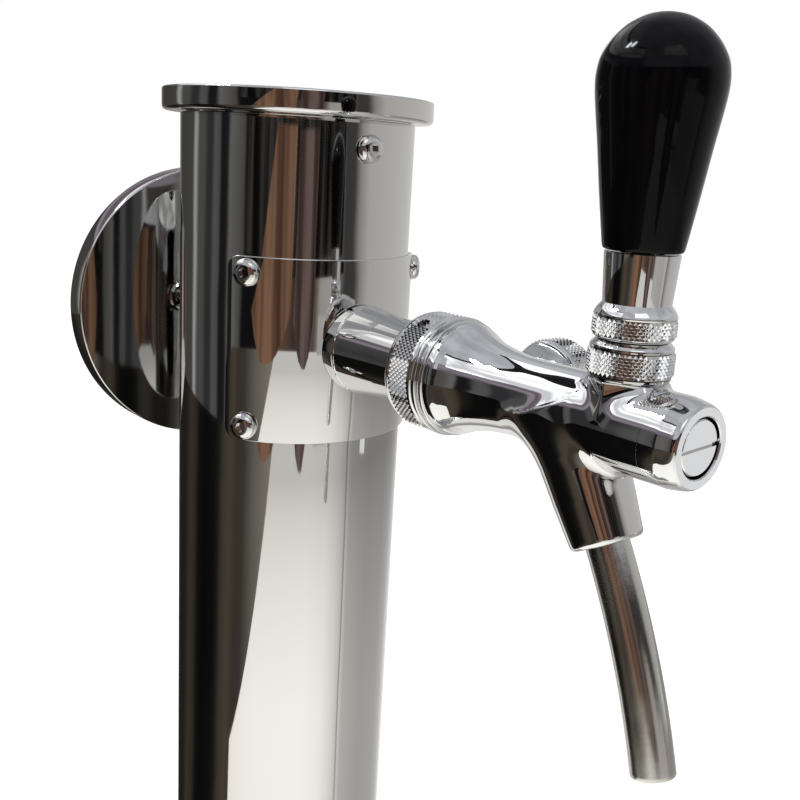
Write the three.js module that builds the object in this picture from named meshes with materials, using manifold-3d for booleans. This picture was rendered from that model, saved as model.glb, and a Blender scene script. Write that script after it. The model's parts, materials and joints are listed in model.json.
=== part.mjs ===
// Single-tap draft beer tower with a flow-control faucet, in millimetres, +Z up.
// The origin is on the column's axis at the counter top, and the faucet points along -Y.

import * as THREE from "three";
import { mergeVertices } from "three/addons/utils/BufferGeometryUtils.js";
import Module from "manifold-3d";

const wasm = await Module();
wasm.setup();

// Clearances and cutting
const gap = 0.3; // between pieces that seat on or in each other
const over = 2; // how far a cutter runs past the face it cuts
const quarterTurn = Math.PI / 2;
const degree = Math.PI / 180;

// Facets round a full turn
const fineSides = 40;
const midSides = 24;
const smallSides = 14;
const tinySides = 10;
const edgeSteps = 4; // across a rounded edge
const ballSteps = 8; // across half a ball, or round a seal's section

// Column and base
const columnRadius = 40;
const columnWall = 1.5;
const faucetHeight = 300; // faucet axis above the counter
const gasketThickness = 2;
const flangeRadius = 70;
const flangeThickness = 5;
const flangeEdgeRound = 1.5;
const flangeLedge = 5; // inner ledge that carries the tube, past its bore
const flangeLedgeThickness = 2.5;
const flangeCollarHeight = 9;
const flangeCollarWall = 3;
const baseHoleInset = 12; // hole's axis from the flange's edge
const baseHoleRadius = 3.2;
const baseSinkRadius = 5.8;
const baseHoleCount = 4;

// Top cap
const capOverhang = 6.1;
const capRise = 73.1; // cap's underside above the faucet axis
const capThickness = 7.4;
const capEdgeRound = 2;
const capSkin = 3;
const capPlugWall = 4;
const capPlugDepth = 20;
const capScrewDrop = 9.1; // screw axis below the cap's underside

// Button-head screw, used for the cap and the faucet plate
const headRadius = 4.5;
const headHeight = 2.6;
const headRim = 0.6;
const headFlat = 2.4;
// Crown of the head: share of its radius, and share of its height above the rim
const headShares = [[0.93, 0.45], [0.76, 0.8]];
const threadRadius = 2.3;
const threadLength = 6;
const socketRadius = 1.75;
const socketDepth = 1.5;

// Curved faucet plate
const plateThickness = 1.2;
const plateHalfSpan = 65 * degree;
const plateHeight = 60.6;
const plateDrop = 1.2; // plate's middle below the faucet axis
const plateCorner = 4.5;
const plateScrewMargin = 10 * degree; // screw axis from the plate's straight edge
const plateScrewInset = 5.1; // screw axis from the plate's top and bottom edges

// Saddle collar, shank and what holds it inside the column
const shankRadius = 9.25;
const shankBore = 3.5;
const saddleRadius = 14.5;
const saddleStand = 2.9; // flat face, ahead of the plate
const saddleChamfer = 0.5;
const stubRearRadius = 14.3;
const stubFrontRadius = 12.2;
const stubLength = 28.5;
const shankBareTail = 8.7; // behind the lock nut
const shankCollarRadius = 12.7;
const shankCollarLength = 4;
const backingRadius = 13.5;
const backingDepth = 7.5; // its flat rear face, inward of the column's bore
const hexSides = 6;
const locknutRadius = 15.2;
const locknutLength = 6;
const tailNutRadius = 13.8;
const tailNutLength = 13;
const tailNutLip = 2.5;
const tailFlangeRadius = 9;
const tailFlangeLength = 2.2;
const tailWasherThickness = 1.2;
const barbRadius = 4.6;
const barbBore = 3;
const barbLength = 22;
const barbCount = 4;
const barbPitch = 4;
const barbStep = 0.7;
const barbRampShare = 0.8; // of the pitch

// Coupling nut and its washer
const nutLength = 13.4;
const nutRadius = 18;
const nutWall = 3.2; // rear wall that hooks behind the shank's collar
const nutRearChamfer = 3.2;
const nutRearChamferDrop = 2;
const nutFrontChamfer = 1.4;
const nutFrontChamferDrop = 1.2;
const spannerHoleRadius = 2;
const spannerHoleDepth = 3.6;
const couplingWasherThickness = 1.2;

// Faucet body, with each place on its line counted from the one before
const ringToKnob = 20.8; // first ring's rear face to the flow knob's axis
const knobToSeat = 18; // on to the plunger's seat
const seatToLever = 23.1; // on to the lever's axis
const leverToNose = 22.9; // on to the nose
const neckBehindSeat = 8;
const socketAheadOfSeat = 5.1; // where the socket's axis leaves the faucet axis
const barrelBehindLever = 1.1; // barrel's fullest place
const ringRadius = 17.8;
const ringWidth = 1.7;
const grooveRadius = 16.2;
const grooveWidth = 0.9;
const secondRingRadius = 17.2;
const secondRingWidth = 1.3;
const shoulderRadius = 16.6;
const neckRadius = 11.2;
const barrelRadius = 11.5;
const noseRadius = 10.3;
const noseTaper = 5.2;
// Shoulder curve: share of the way to the neck, and share of the drop in radius
const shoulderShares = [[0.07, 0.05], [0.16, 0.25], [0.29, 0.5], [0.46, 0.72], [0.7, 0.91]];
const chamberRadius = 6.5;
const seatThickness = 2;
const seatHole = 3.6;
const boreRadius = 4.7;
const plugRadius = 7.2;
const plugLength = 7;
const plugRecess = 0.4;
const plugSlotWidth = 1.7;
const plugSlotDepth = 1.2;
const plugSlotTurn = 12 * degree;
const plugBevel = 0.4;

// Spout socket and tube
const socketTilt = 28.6 * degree; // ahead of straight down
const socketLength = 36.2;
const socketTopRadius = 11;
const socketTipRadius = 9;
const socketTipRound = 0.6;
const spoutRadius = 6;
const spoutWall = 1.2;
const spoutSeat = 13; // how deep the tube sits in the socket
const spoutArcRadius = 250;
const spoutArcAngle = 13.6 * degree;
const spoutSteps = 12;
const spoutSides = 14;
const sealSection = 0.9;
const sealGrooveDepth = 5; // seal's middle inside the socket's mouth

// Lever: bonnet, ball, stem and collar
const pivotRise = 14; // ball's centre above the faucet axis
const bossRadius = 9.3; // corner of the hexagonal boss
const bossRise = 12.2;
const armSlotRise = 8.8; // roof of the slot that the lever's arm swings in
const bonnetRadius = 10.8;
const bonnetBottom = 12.6;
const bonnetTop = 21;
const bonnetLip = 0.7;
const bonnetLipRadius = 10.2;
const bonnetTopRadius = 9.8;
const bonnetChamfer = 1.5;
const bonnetDome = 12.1; // outer dome about the ball's centre
const bonnetSlotHalf = 3.3;
const ballRadius = 5;
const ballSeatRadius = 5.6;
const stemRadius = 2.7;
const armRadius = 1.8;
const armTipRadius = 1.95;
const leverWasherRadius = 7;
const leverWasherThickness = 1.2;
const leverWasherRise = 1.2; // above the ball's centre
const collarRadius = 10.4;
const collarEdgeRadius = 9.4;
const collarKnurlBottom = 22.9;
const collarKnurlTop = 27.6;
const ferruleBottom = 30.8;
const ferruleBottomRadius = 8.4;
const ferruleTop = 43.2;
const ferruleTopRadius = 9.2;
const leverSwing = 30 * degree;
const swingSteps = 3; // cuts that make the bonnet's slot

// Handle grip and the threaded insert in it
const gripBottom = 43.5;
const gripHeight = 53.9;
const gripRadius = 15.2;
// Grip outline: share of the height, and share of the largest radius
const gripShares = [
  [0, 0.6], [0.012, 0.645], [0.05, 0.668], [0.15, 0.722], [0.26, 0.78], [0.36, 0.83],
  [0.46, 0.88], [0.56, 0.936], [0.65, 0.982], [0.715, 1], [0.765, 0.988], [0.81, 0.952],
  [0.855, 0.873], [0.9, 0.756], [0.945, 0.585], [0.98, 0.36],
];
const insertRadius = 5;
const insertLength = 22;
const studLength = 17; // of the lever stem, inside the insert

// Plunger and its seal
const rodRadius = 2;
const plungerHeadRadius = 5.2;
const plungerHeadLength = 2.6;
const plungerSealRadius = 5.5;
const plungerSealThickness = 1.8;
const pistonBehindLever = 8.5;
const pistonAheadOfLever = 7.4;
const pistonRadius = 4.4;
const pocketForward = 2.7; // extra length for the tilted arm

// Flow control: knob, shaft, gland and compensator cone
const knobRadius = 13.6;
const knobNear = 15.1;
const knobFar = 25.4;
const knobChamfer = 1.8;
const knobDish = 0.8;
const knobBoreDepth = 7;
const flowShaftRadius = 2.7;
const crankPinRadius = 1.1;
const crankPinLength = 4.4;
const crankOffset = 1.4;
const glandRadius = 5;
const glandThickness = 2.2;
const flowBossRadius = 6.6;
const flowBossReach = 14.3;
const coneBehindKnob = 15;
const coneAheadOfKnob = 2;
const coneRearRadius = 3.2;
const coneFrontRadius = 5.7;
const coneLand = 7;

// Medallion behind the column
const medallionRadius = 53.8;
const medallionThickness = 9.6;
const medallionEdge = 0.6;
const medallionRim = 4;
const medallionFloor = 2.4; // the disc behind the lens
const medallionBossRadius = 6.2;
const medallionBossLength = 12;
const standRadius = 4;
const standFlangeRadius = 7;
const standFlangeLength = 3;
const standNeck = 7.3; // bare stem between its flange and the disc's boss
const standTail = 27;
const standWasherRadius = 8.5;
const standWasherThickness = 3;
const standNutRadius = 7.4;
const standNutLength = 4.5;
const standEngagement = 10;

// Sizes worked out from the ones above
const columnInner = columnRadius - columnWall;
const flangeBottom = gasketThickness + gap;
const flangeTop = flangeBottom + flangeThickness;
const ledgeTop = flangeBottom + flangeLedgeThickness;
const ledgeRadius = columnInner - flangeLedge + gap;
const columnBottom = ledgeTop + gap;
const capUnderside = faucetHeight + capRise;
const columnTop = capUnderside - gap;
const capRadius = columnRadius + capOverhang;
const baseHoleCircle = flangeRadius - baseHoleInset;
const capPlugRadius = columnInner - gap;
const capScrewHeight = capUnderside - capScrewDrop;
const standFlangeFront = columnRadius + gap;
const bossFront = standFlangeFront + standFlangeLength + standNeck;
const medallionReach = bossFront + medallionBossLength; // near face, behind the column's axis
const plateInner = columnRadius + gap;
const plateOuter = plateInner + plateThickness;
const plateMiddle = faucetHeight - plateDrop;
const plateScrewAngle = plateHalfSpan - plateScrewMargin;
const plateScrewRise = plateHeight / 2 - plateScrewInset;
const screwHoleRadius = threadRadius + gap;
const shankHoleRadius = shankRadius + gap;
const saddleReach = plateOuter + saddleStand;
const nutRear = saddleReach + stubLength + 2 * gap;
const backingRear = columnInner - backingDepth;
const locknutFront = backingRear - gap;
const shankTail = locknutFront - locknutLength - shankBareTail;
const nutFront = nutRear + nutLength;
const ringReach = nutFront + gap;
const knobReach = ringReach + ringToKnob;
const seatReach = knobReach + knobToSeat;
const leverReach = seatReach + seatToLever;
const noseReach = leverReach + leverToNose;
const neckReach = seatReach - neckBehindSeat;
const barrelReach = leverReach - barrelBehindLever;
const socketStart = seatReach + socketAheadOfSeat;
const shankNose = nutRear + nutWall + gap + shankCollarLength;
const bodyRear = shankNose + couplingWasherThickness + 2 * gap;
const nutCavityRadius = shankCollarRadius + gap;
const shoulderReach = ringReach + ringWidth + grooveWidth + secondRingWidth;
const spoutBore = spoutRadius - spoutWall;
const collarSphere = bonnetDome + gap;
const flowShaftTip = coneFrontRadius + gap;
const stroke = pivotRise * Math.sin(leverSwing);

// Materials
function metal(colour, roughness) {
  return new THREE.MeshStandardMaterial({ color: colour, metalness: 1, roughness });
}
function plain(colour, roughness) {
  return new THREE.MeshStandardMaterial({ color: colour, metalness: 0, roughness });
}
const polishedSteel = metal(0xb9bbbd, 0.08);
const satinSteel = metal(0xa9a9a6, 0.28);
const chrome = metal(0xc6c9cc, 0.05);
const brass = metal(0xb08d4a, 0.35);
const blackGrip = plain(0x0a0a0b, 0.12);
const rubber = plain(0x1c1c1d, 0.8);
const whiteWasher = plain(0xe8e6df, 0.5);
const clearLens = plain(0xd9dde0, 0.1);

// Solids and meshes
function facingOut(geometry) {
  const points = geometry.getAttribute("position");
  const index = geometry.getIndex().array;
  const a = new THREE.Vector3();
  const b = new THREE.Vector3();
  const c = new THREE.Vector3();
  let volume = 0;
  for (let i = 0; i < index.length; i += 3) {
    a.fromBufferAttribute(points, index[i]);
    b.fromBufferAttribute(points, index[i + 1]);
    c.fromBufferAttribute(points, index[i + 2]);
    volume += a.dot(b.cross(c));
  }
  if (volume < 0) {
    for (let i = 0; i < index.length; i += 3) {
      [index[i + 1], index[i + 2]] = [index[i + 2], index[i + 1]];
    }
  }
  return geometry;
}

function welded(geometry) {
  const bare = new THREE.BufferGeometry();
  bare.setAttribute("position", geometry.getAttribute("position").clone());
  const source = geometry.getIndex();
  if (source) bare.setIndex(Array.from(source.array));
  const merged = mergeVertices(bare);
  const index = merged.getIndex().array;
  const kept = [];
  for (let i = 0; i < index.length; i += 3) {
    const [p, q, r] = [index[i], index[i + 1], index[i + 2]];
    if (p !== q && q !== r && r !== p) kept.push(p, q, r);
  }
  merged.setIndex(kept);
  return facingOut(merged);
}

function solid(geometry) {
  const shape = welded(geometry);
  const vertProperties = new Float32Array(shape.getAttribute("position").array);
  const triVerts = new Uint32Array(shape.getIndex().array);
  return new wasm.Manifold(new wasm.Mesh({ numProp: 3, vertProperties, triVerts }));
}

function shapeOf(body) {
  const { vertProperties, triVerts } = body.getMesh();
  const geometry = new THREE.BufferGeometry();
  geometry.setAttribute("position", new THREE.BufferAttribute(new Float32Array(vertProperties), 3));
  geometry.setIndex(new THREE.BufferAttribute(new Uint32Array(triVerts), 1));
  geometry.computeVertexNormals();
  return geometry;
}

function piece(name, form, material) {
  const geometry = form.isBufferGeometry ? welded(form) : shapeOf(form);
  const mesh = new THREE.Mesh(geometry, material);
  mesh.name = name;
  return mesh;
}

// A profile of [radius, along] points turned about +Z
function turned(profile, sides) {
  const points = profile.map(([radius, along]) => new THREE.Vector2(radius, along));
  const first = points[0];
  const last = points[points.length - 1];
  if (first.x > 0 || last.x > 0) points.push(first.clone());
  return new THREE.LatheGeometry(points, sides).rotateX(quarterTurn);
}

function rod(radius, from, to, sides) {
  return turned([[0, from], [radius, from], [radius, to], [0, to]], sides);
}

function tube(inner, outer, from, to, sides) {
  return turned([[inner, from], [outer, from], [outer, to], [inner, to]], sides);
}

function arc(centreX, centreY, radius, start, end, steps) {
  const points = [];
  for (let i = 0; i <= steps; i += 1) {
    const angle = start + ((end - start) * i) / steps;
    points.push([centreX + radius * Math.cos(angle), centreY + radius * Math.sin(angle)]);
  }
  return points;
}

function hexPrism(radius, from, to) {
  const outline = new THREE.Shape();
  for (let i = 0; i < hexSides; i += 1) {
    const angle = (2 * Math.PI * i) / hexSides;
    const [x, y] = [radius * Math.cos(angle), radius * Math.sin(angle)];
    if (i === 0) outline.moveTo(x, y);
    else outline.lineTo(x, y);
  }
  const settings = { depth: to - from, bevelEnabled: false };
  return new THREE.ExtrudeGeometry(outline, settings).translate(0, 0, from);
}

function block(x, y, z, width, depth, height) {
  return new THREE.BoxGeometry(width, depth, height).translate(x, y, z);
}

// Points +Z of an object outwards from the column at an azimuth counted from the faucet
function faceOutwards(object, azimuth, reach, height) {
  object.position.set(reach * Math.sin(azimuth), -reach * Math.cos(azimuth), height);
  object.rotation.set(quarterTurn, 0, azimuth, "ZXY");
  return object;
}

function outwardCutter(geometry, azimuth, reach, height) {
  const frame = faceOutwards(new THREE.Object3D(), azimuth, reach, height);
  frame.updateMatrix();
  return solid(geometry.applyMatrix4(frame.matrix));
}

function screwHole(azimuth, reach, height) {
  return outwardCutter(rod(screwHoleRadius, -over, over + columnWall, tinySides), azimuth, reach, height);
}

// Places of the cap and plate screws round the column
const capScrews = [["cap_screw_front", 0], ["cap_screw_rear", Math.PI]];
const plateScrews = [
  ["plate_screw_top_left", -plateScrewAngle, plateScrewRise],
  ["plate_screw_bottom_left", -plateScrewAngle, -plateScrewRise],
  ["plate_screw_top_right", plateScrewAngle, plateScrewRise],
  ["plate_screw_bottom_right", plateScrewAngle, -plateScrewRise],
];

function columnTube() {
  let wall = solid(tube(columnInner, columnRadius, columnBottom, columnTop, fineSides));
  for (const [, azimuth] of capScrews) {
    wall = wall.subtract(screwHole(azimuth, columnInner, capScrewHeight));
  }
  for (const [, azimuth, rise] of plateScrews) {
    wall = wall.subtract(screwHole(azimuth, columnInner, plateMiddle + rise));
  }
  const shankCut = rod(shankHoleRadius, -over, over + columnWall, smallSides);
  wall = wall.subtract(outwardCutter(shankCut, 0, columnInner, faucetHeight));
  const standCut = rod(standRadius + gap, -over, over + columnWall, tinySides);
  wall = wall.subtract(outwardCutter(standCut, Math.PI, columnInner, faucetHeight));
  return piece("column_tube", wall, polishedSteel);
}

function baseHoles(body, radius, sinkRadius, top) {
  let holed = body;
  for (let i = 0; i < baseHoleCount; i += 1) {
    const angle = (2 * Math.PI * (i + 1 / 2)) / baseHoleCount;
    const [x, y] = [baseHoleCircle * Math.cos(angle), baseHoleCircle * Math.sin(angle)];
    const hole = rod(radius, -over, top + over, tinySides).translate(x, y, 0);
    holed = holed.subtract(solid(hole));
    if (sinkRadius > radius) {
      const depth = sinkRadius - radius;
      const sink = turned([[0, top - depth], [radius, top - depth], [sinkRadius, top],
        [sinkRadius, top + over], [0, top + over]], tinySides).translate(x, y, 0);
      holed = holed.subtract(solid(sink));
    }
  }
  return holed;
}

function baseFlange() {
  const collarInner = columnRadius + gap;
  const collarOuter = collarInner + flangeCollarWall;
  const collarTop = flangeTop + flangeCollarHeight;
  const edge = arc(flangeRadius - flangeEdgeRound, flangeTop - flangeEdgeRound, flangeEdgeRound,
    0, quarterTurn, edgeSteps);
  const profile = [[ledgeRadius, flangeBottom], [flangeRadius, flangeBottom], ...edge,
    [collarOuter, flangeTop], [collarOuter, collarTop], [collarInner, collarTop],
    [collarInner, ledgeTop], [ledgeRadius, ledgeTop]];
  const body = baseHoles(solid(turned(profile, fineSides)), baseHoleRadius, baseSinkRadius, flangeTop);
  return piece("base_flange", body, polishedSteel);
}

function baseGasket() {
  const ring = solid(tube(ledgeRadius, flangeRadius - gap, 0, gasketThickness, fineSides));
  return piece("base_gasket", baseHoles(ring, baseHoleRadius, baseHoleRadius, gasketThickness), rubber);
}

function topCap() {
  const plugInner = capPlugRadius - capPlugWall;
  const edge = arc(capRadius - capEdgeRound, capEdgeRound, capEdgeRound, -quarterTurn, 0, edgeSteps);
  const profile = [[0, capThickness - capSkin], [plugInner, capThickness - capSkin],
    [plugInner, -capPlugDepth], [capPlugRadius, -capPlugDepth], [capPlugRadius, 0], ...edge,
    [capRadius, capThickness], [0, capThickness]];
  let body = solid(turned(profile, fineSides).translate(0, 0, capUnderside));
  for (const [, azimuth] of capScrews) {
    const hole = rod(screwHoleRadius, -over, capPlugWall + over, tinySides);
    body = body.subtract(outwardCutter(hole, azimuth, plugInner, capScrewHeight));
  }
  return piece("top_cap", body, polishedSteel);
}

function buttonScrew(name) {
  const crownRise = headHeight - headRim;
  const crown = headShares.map(([width, way]) => [width * headRadius, headRim + way * crownRise]);
  const profile = [[0, -threadLength], [threadRadius, -threadLength], [threadRadius, 0],
    [headRadius, 0], [headRadius, headRim], ...crown, [headFlat, headHeight], [0, headHeight]];
  const socket = hexPrism(socketRadius, headHeight - socketDepth, headHeight + over);
  return piece(name, solid(turned(profile, tinySides)).subtract(solid(socket)), polishedSteel);
}

function faucetPlate() {
  const outline = new THREE.Shape();
  const [start, end] = [-quarterTurn - plateHalfSpan, -quarterTurn + plateHalfSpan];
  outline.absarc(0, 0, plateOuter, start, end, false);
  outline.absarc(0, 0, plateInner, end, start, true);
  const settings = { depth: plateHeight, bevelEnabled: false, curveSegments: midSides / 2 };
  const sheet = new THREE.ExtrudeGeometry(outline, settings);
  let body = solid(sheet.translate(0, 0, plateMiddle - plateHeight / 2));
  const cornerAngle = plateHalfSpan - plateCorner / plateOuter;
  const cornerRise = plateHeight / 2 - plateCorner;
  const reach = plateCorner + over;
  for (const side of [-1, 1]) {
    for (const level of [-1, 1]) {
      const square = solid(block(side * reach / 2, level * reach / 2, 0, reach, reach, 2 * reach));
      const round = solid(rod(plateCorner, -2 * reach, 2 * reach, smallSides));
      const corner = shapeOf(square.subtract(round));
      const [azimuth, height] = [side * cornerAngle, plateMiddle + level * cornerRise];
      body = body.subtract(outwardCutter(corner, azimuth, plateInner, height));
    }
  }
  for (const [, azimuth, rise] of plateScrews) {
    body = body.subtract(screwHole(azimuth, plateInner, plateMiddle + rise));
  }
  const shankCut = rod(shankHoleRadius, -over, over + plateThickness, smallSides);
  body = body.subtract(outwardCutter(shankCut, 0, plateInner, faucetHeight));
  return piece("faucet_plate", body, polishedSteel);
}

// Pieces on the faucet line: +Z runs forward from the column's axis, +Y is up
function columnCutter(radius) {
  return solid(rod(radius, -saddleReach, saddleReach, fineSides).rotateX(quarterTurn));
}

function shankSaddle() {
  const rear = columnInner - over;
  const face = saddleReach - saddleChamfer;
  const profile = [[shankHoleRadius, rear], [saddleRadius, rear],
    [saddleRadius, face], [saddleRadius - saddleChamfer, saddleReach], [shankHoleRadius, saddleReach]];
  const collar = solid(turned(profile, midSides));
  return piece("shank_saddle", collar.subtract(columnCutter(plateOuter + gap)), polishedSteel);
}

function shank() {
  const collarRear = shankNose - shankCollarLength;
  const profile = [[shankBore, shankTail], [shankRadius, shankTail], [shankRadius, collarRear],
    [shankCollarRadius, collarRear], [shankCollarRadius, shankNose], [shankBore, shankNose]];
  return piece("shank", turned(profile, smallSides), chrome);
}

function stubPipe() {
  const rear = saddleReach + gap;
  const front = nutRear - gap;
  const profile = [[shankHoleRadius, rear], [stubRearRadius, rear], [stubFrontRadius, front],
    [shankHoleRadius, front]];
  return piece("stub_pipe", turned(profile, midSides), polishedSteel);
}

function shankBacking() {
  const disc = solid(tube(shankHoleRadius, backingRadius, backingRear, columnRadius, smallSides));
  return piece("shank_backing_washer", disc.intersect(columnCutter(columnInner - gap)), satinSteel);
}

function shankLocknut() {
  const rear = locknutFront - locknutLength;
  const nut = solid(hexPrism(locknutRadius, rear, locknutFront));
  const bore = solid(rod(shankHoleRadius, rear - over, locknutFront + over, smallSides));
  return piece("shank_locknut", nut.subtract(bore), brass);
}

function tailPiece() {
  const seat = shankTail - 2 * gap - tailWasherThickness;
  const barbStart = seat - tailFlangeLength;
  const profile = [[barbBore, seat], [tailFlangeRadius, seat], [tailFlangeRadius, barbStart],
    [barbRadius, barbStart]];
  for (let i = 0; i < barbCount; i += 1) {
    const along = barbStart - barbLength + (barbCount - i) * barbPitch;
    profile.push([barbRadius, along], [barbRadius + barbStep, along]);
    profile.push([barbRadius, along - barbPitch * barbRampShare]);
  }
  profile.push([barbRadius, barbStart - barbLength], [barbBore, barbStart - barbLength]);
  return piece("tail_piece", turned(profile, smallSides), chrome);
}

function tailWasher() {
  const front = shankTail - gap;
  const washer = tube(shankBore, tailFlangeRadius, front - tailWasherThickness, front, smallSides);
  return piece("tail_washer", washer, whiteWasher);
}

function tailNut() {
  const rear = shankTail - 3 * gap - tailWasherThickness - tailFlangeLength - tailNutLip;
  const front = rear + tailNutLength;
  const nut = solid(hexPrism(tailNutRadius, rear, front));
  const mouth = solid(rod(shankHoleRadius, rear + tailNutLip, front + over, smallSides));
  const neck = solid(rod(barbRadius + barbStep + gap, rear - over, front, smallSides));
  return piece("tail_nut", nut.subtract(mouth).subtract(neck), chrome);
}

function couplingNut() {
  const profile = [[shankHoleRadius, nutRear], [nutRadius - nutRearChamferDrop, nutRear],
    [nutRadius, nutRear + nutRearChamfer], [nutRadius, nutFront - nutFrontChamfer],
    [nutRadius - nutFrontChamferDrop, nutFront], [nutCavityRadius, nutFront],
    [nutCavityRadius, nutRear + nutWall], [shankHoleRadius, nutRear + nutWall]];
  const middle = (nutRear + nutRearChamfer + nutFront - nutFrontChamfer) / 2;
  const hole = rod(spannerHoleRadius, nutRadius - spannerHoleDepth, nutRadius + over, tinySides);
  hole.rotateX(-quarterTurn).translate(0, 0, middle);
  return piece("coupling_nut", solid(turned(profile, midSides)).subtract(solid(hole)), chrome);
}

function couplingWasher() {
  const rear = shankNose + gap;
  const washer = tube(shankBore, shankCollarRadius - gap, rear, rear + couplingWasherThickness, smallSides);
  return piece("coupling_washer", washer, whiteWasher);
}

function bodyShell() {
  const ringFront = ringReach + ringWidth;
  const grooveFront = ringFront + grooveWidth;
  const profile = [[0, bodyRear], [shankCollarRadius, bodyRear], [shankCollarRadius, ringReach],
    [ringRadius, ringReach], [ringRadius, ringFront], [grooveRadius, ringFront],
    [grooveRadius, grooveFront], [secondRingRadius, grooveFront], [secondRingRadius, shoulderReach],
    [shoulderRadius, shoulderReach]];
  for (const [way, drop] of shoulderShares) {
    profile.push([shoulderRadius - drop * (shoulderRadius - neckRadius),
      shoulderReach + way * (neckReach - shoulderReach)]);
  }
  profile.push([neckRadius, neckReach], [barrelRadius, barrelReach], [barrelRadius, noseReach - noseTaper],
    [noseRadius, noseReach], [0, noseReach]);
  return solid(turned(profile, midSides));
}

// Turns a form about the socket's axis, which starts on the faucet axis and leans forward
function onSocketAxis(geometry) {
  return geometry.rotateX(quarterTurn - socketTilt).translate(0, 0, socketStart);
}

function onLeverAxis(geometry) {
  return geometry.rotateX(-quarterTurn).translate(0, 0, leverReach);
}

function onFlowAxis(geometry) {
  return geometry.rotateY(quarterTurn).translate(0, 0, knobReach);
}

function faucetBody() {
  const tip = arc(socketTipRadius - socketTipRound, socketLength - socketTipRound, socketTipRound,
    0, quarterTurn, edgeSteps);
  const socket = turned([[0, 0], [socketTopRadius, 0], [socketTopRadius, socketLength / 3],
    ...tip, [0, socketLength]], midSides);
  const boss = onLeverAxis(hexPrism(bossRadius, 0, bossRise));
  const flowBoss = onFlowAxis(rod(flowBossRadius, 0, flowBossReach, smallSides));
  const armSlotWidth = 2 * (armTipRadius + gap);
  const armSlotRear = leverReach - stroke - armRadius;
  const armSlotFront = leverReach + armTipRadius + gap;
  let body = bodyShell().add(solid(onSocketAxis(socket))).add(solid(boss)).add(solid(flowBoss));
  const cuts = [
    rod(chamberRadius, bodyRear - over, seatReach, smallSides),
    rod(seatHole, seatReach - over, seatReach + seatThickness + over, tinySides),
    rod(boreRadius, seatReach + seatThickness, noseReach, smallSides),
    rod(plugRadius + gap, noseReach - plugRecess - plugLength - gap, noseReach + over, midSides),
    onSocketAxis(rod(spoutBore, 0, socketLength, smallSides)),
    onSocketAxis(rod(spoutRadius + gap, socketLength - spoutSeat - gap, socketLength + over, smallSides)),
    onSocketAxis(sealRing(gap)),
    onLeverAxis(rod(ballSeatRadius, bossRise / 2 + gap, bossRise + over, smallSides)),
    block(0, armSlotRise / 2, (armSlotRear + armSlotFront) / 2,
      armSlotWidth, armSlotRise, armSlotFront - armSlotRear),
    onFlowAxis(rod(flowShaftRadius + gap, 0, flowBossReach + over, smallSides)),
    onFlowAxis(rod(glandRadius + gap, flowBossReach - glandThickness - gap, flowBossReach + over,
      smallSides)),
  ];
  for (const cut of cuts) body = body.subtract(solid(cut));
  return piece("faucet_body", body, chrome);
}

function nosePlug() {
  const front = noseReach - plugRecess;
  const rear = front - plugLength;
  const profile = [[0, rear], [plugRadius, rear], [plugRadius, front - plugBevel],
    [plugRadius - plugBevel, front], [0, front]];
  const slot = block(0, 0, front, 2 * plugRadius + over, plugSlotWidth, 2 * plugSlotDepth);
  const cut = solid(slot.rotateZ(plugSlotTurn));
  return piece("nose_plug", solid(turned(profile, midSides)).subtract(cut), chrome);
}

function sealRing(room) {
  const along = socketLength - sealGrooveDepth;
  const centre = spoutRadius + gap + sealSection;
  const section = arc(centre, along, sealSection + room, 0, 2 * Math.PI, ballSteps);
  section.pop();
  return turned(section, smallSides);
}

// Centre line of the spout in the faucet line's own plane: straight in the socket, then an arc
function spoutPath() {
  const down = new THREE.Vector3(0, -Math.cos(socketTilt), Math.sin(socketTilt));
  const start = new THREE.Vector3(0, 0, socketStart).addScaledVector(down, socketLength - spoutSeat);
  const mouth = new THREE.Vector3(0, 0, socketStart).addScaledVector(down, socketLength);
  const points = [start];
  for (let i = 0; i <= spoutSteps; i += 1) {
    const tilt = socketTilt - (spoutArcAngle * i) / spoutSteps;
    const forward = spoutArcRadius * (Math.cos(tilt) - Math.cos(socketTilt));
    const drop = spoutArcRadius * (Math.sin(socketTilt) - Math.sin(tilt));
    points.push(new THREE.Vector3(0, mouth.y - drop, mouth.z + forward));
  }
  return new THREE.CatmullRomCurve3(points);
}

function spoutTube() {
  const section = new THREE.Shape().absarc(0, 0, spoutRadius, 0, 2 * Math.PI, false);
  section.holes.push(new THREE.Path().absarc(0, 0, spoutBore, 0, 2 * Math.PI, true));
  const settings = { steps: spoutSteps, curveSegments: spoutSides / 2, extrudePath: spoutPath() };
  return piece("spout_tube", new THREE.ExtrudeGeometry(section, settings), satinSteel);
}

function spoutSeal() {
  return piece("spout_seal", onSocketAxis(sealRing(0)), rubber);
}

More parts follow.
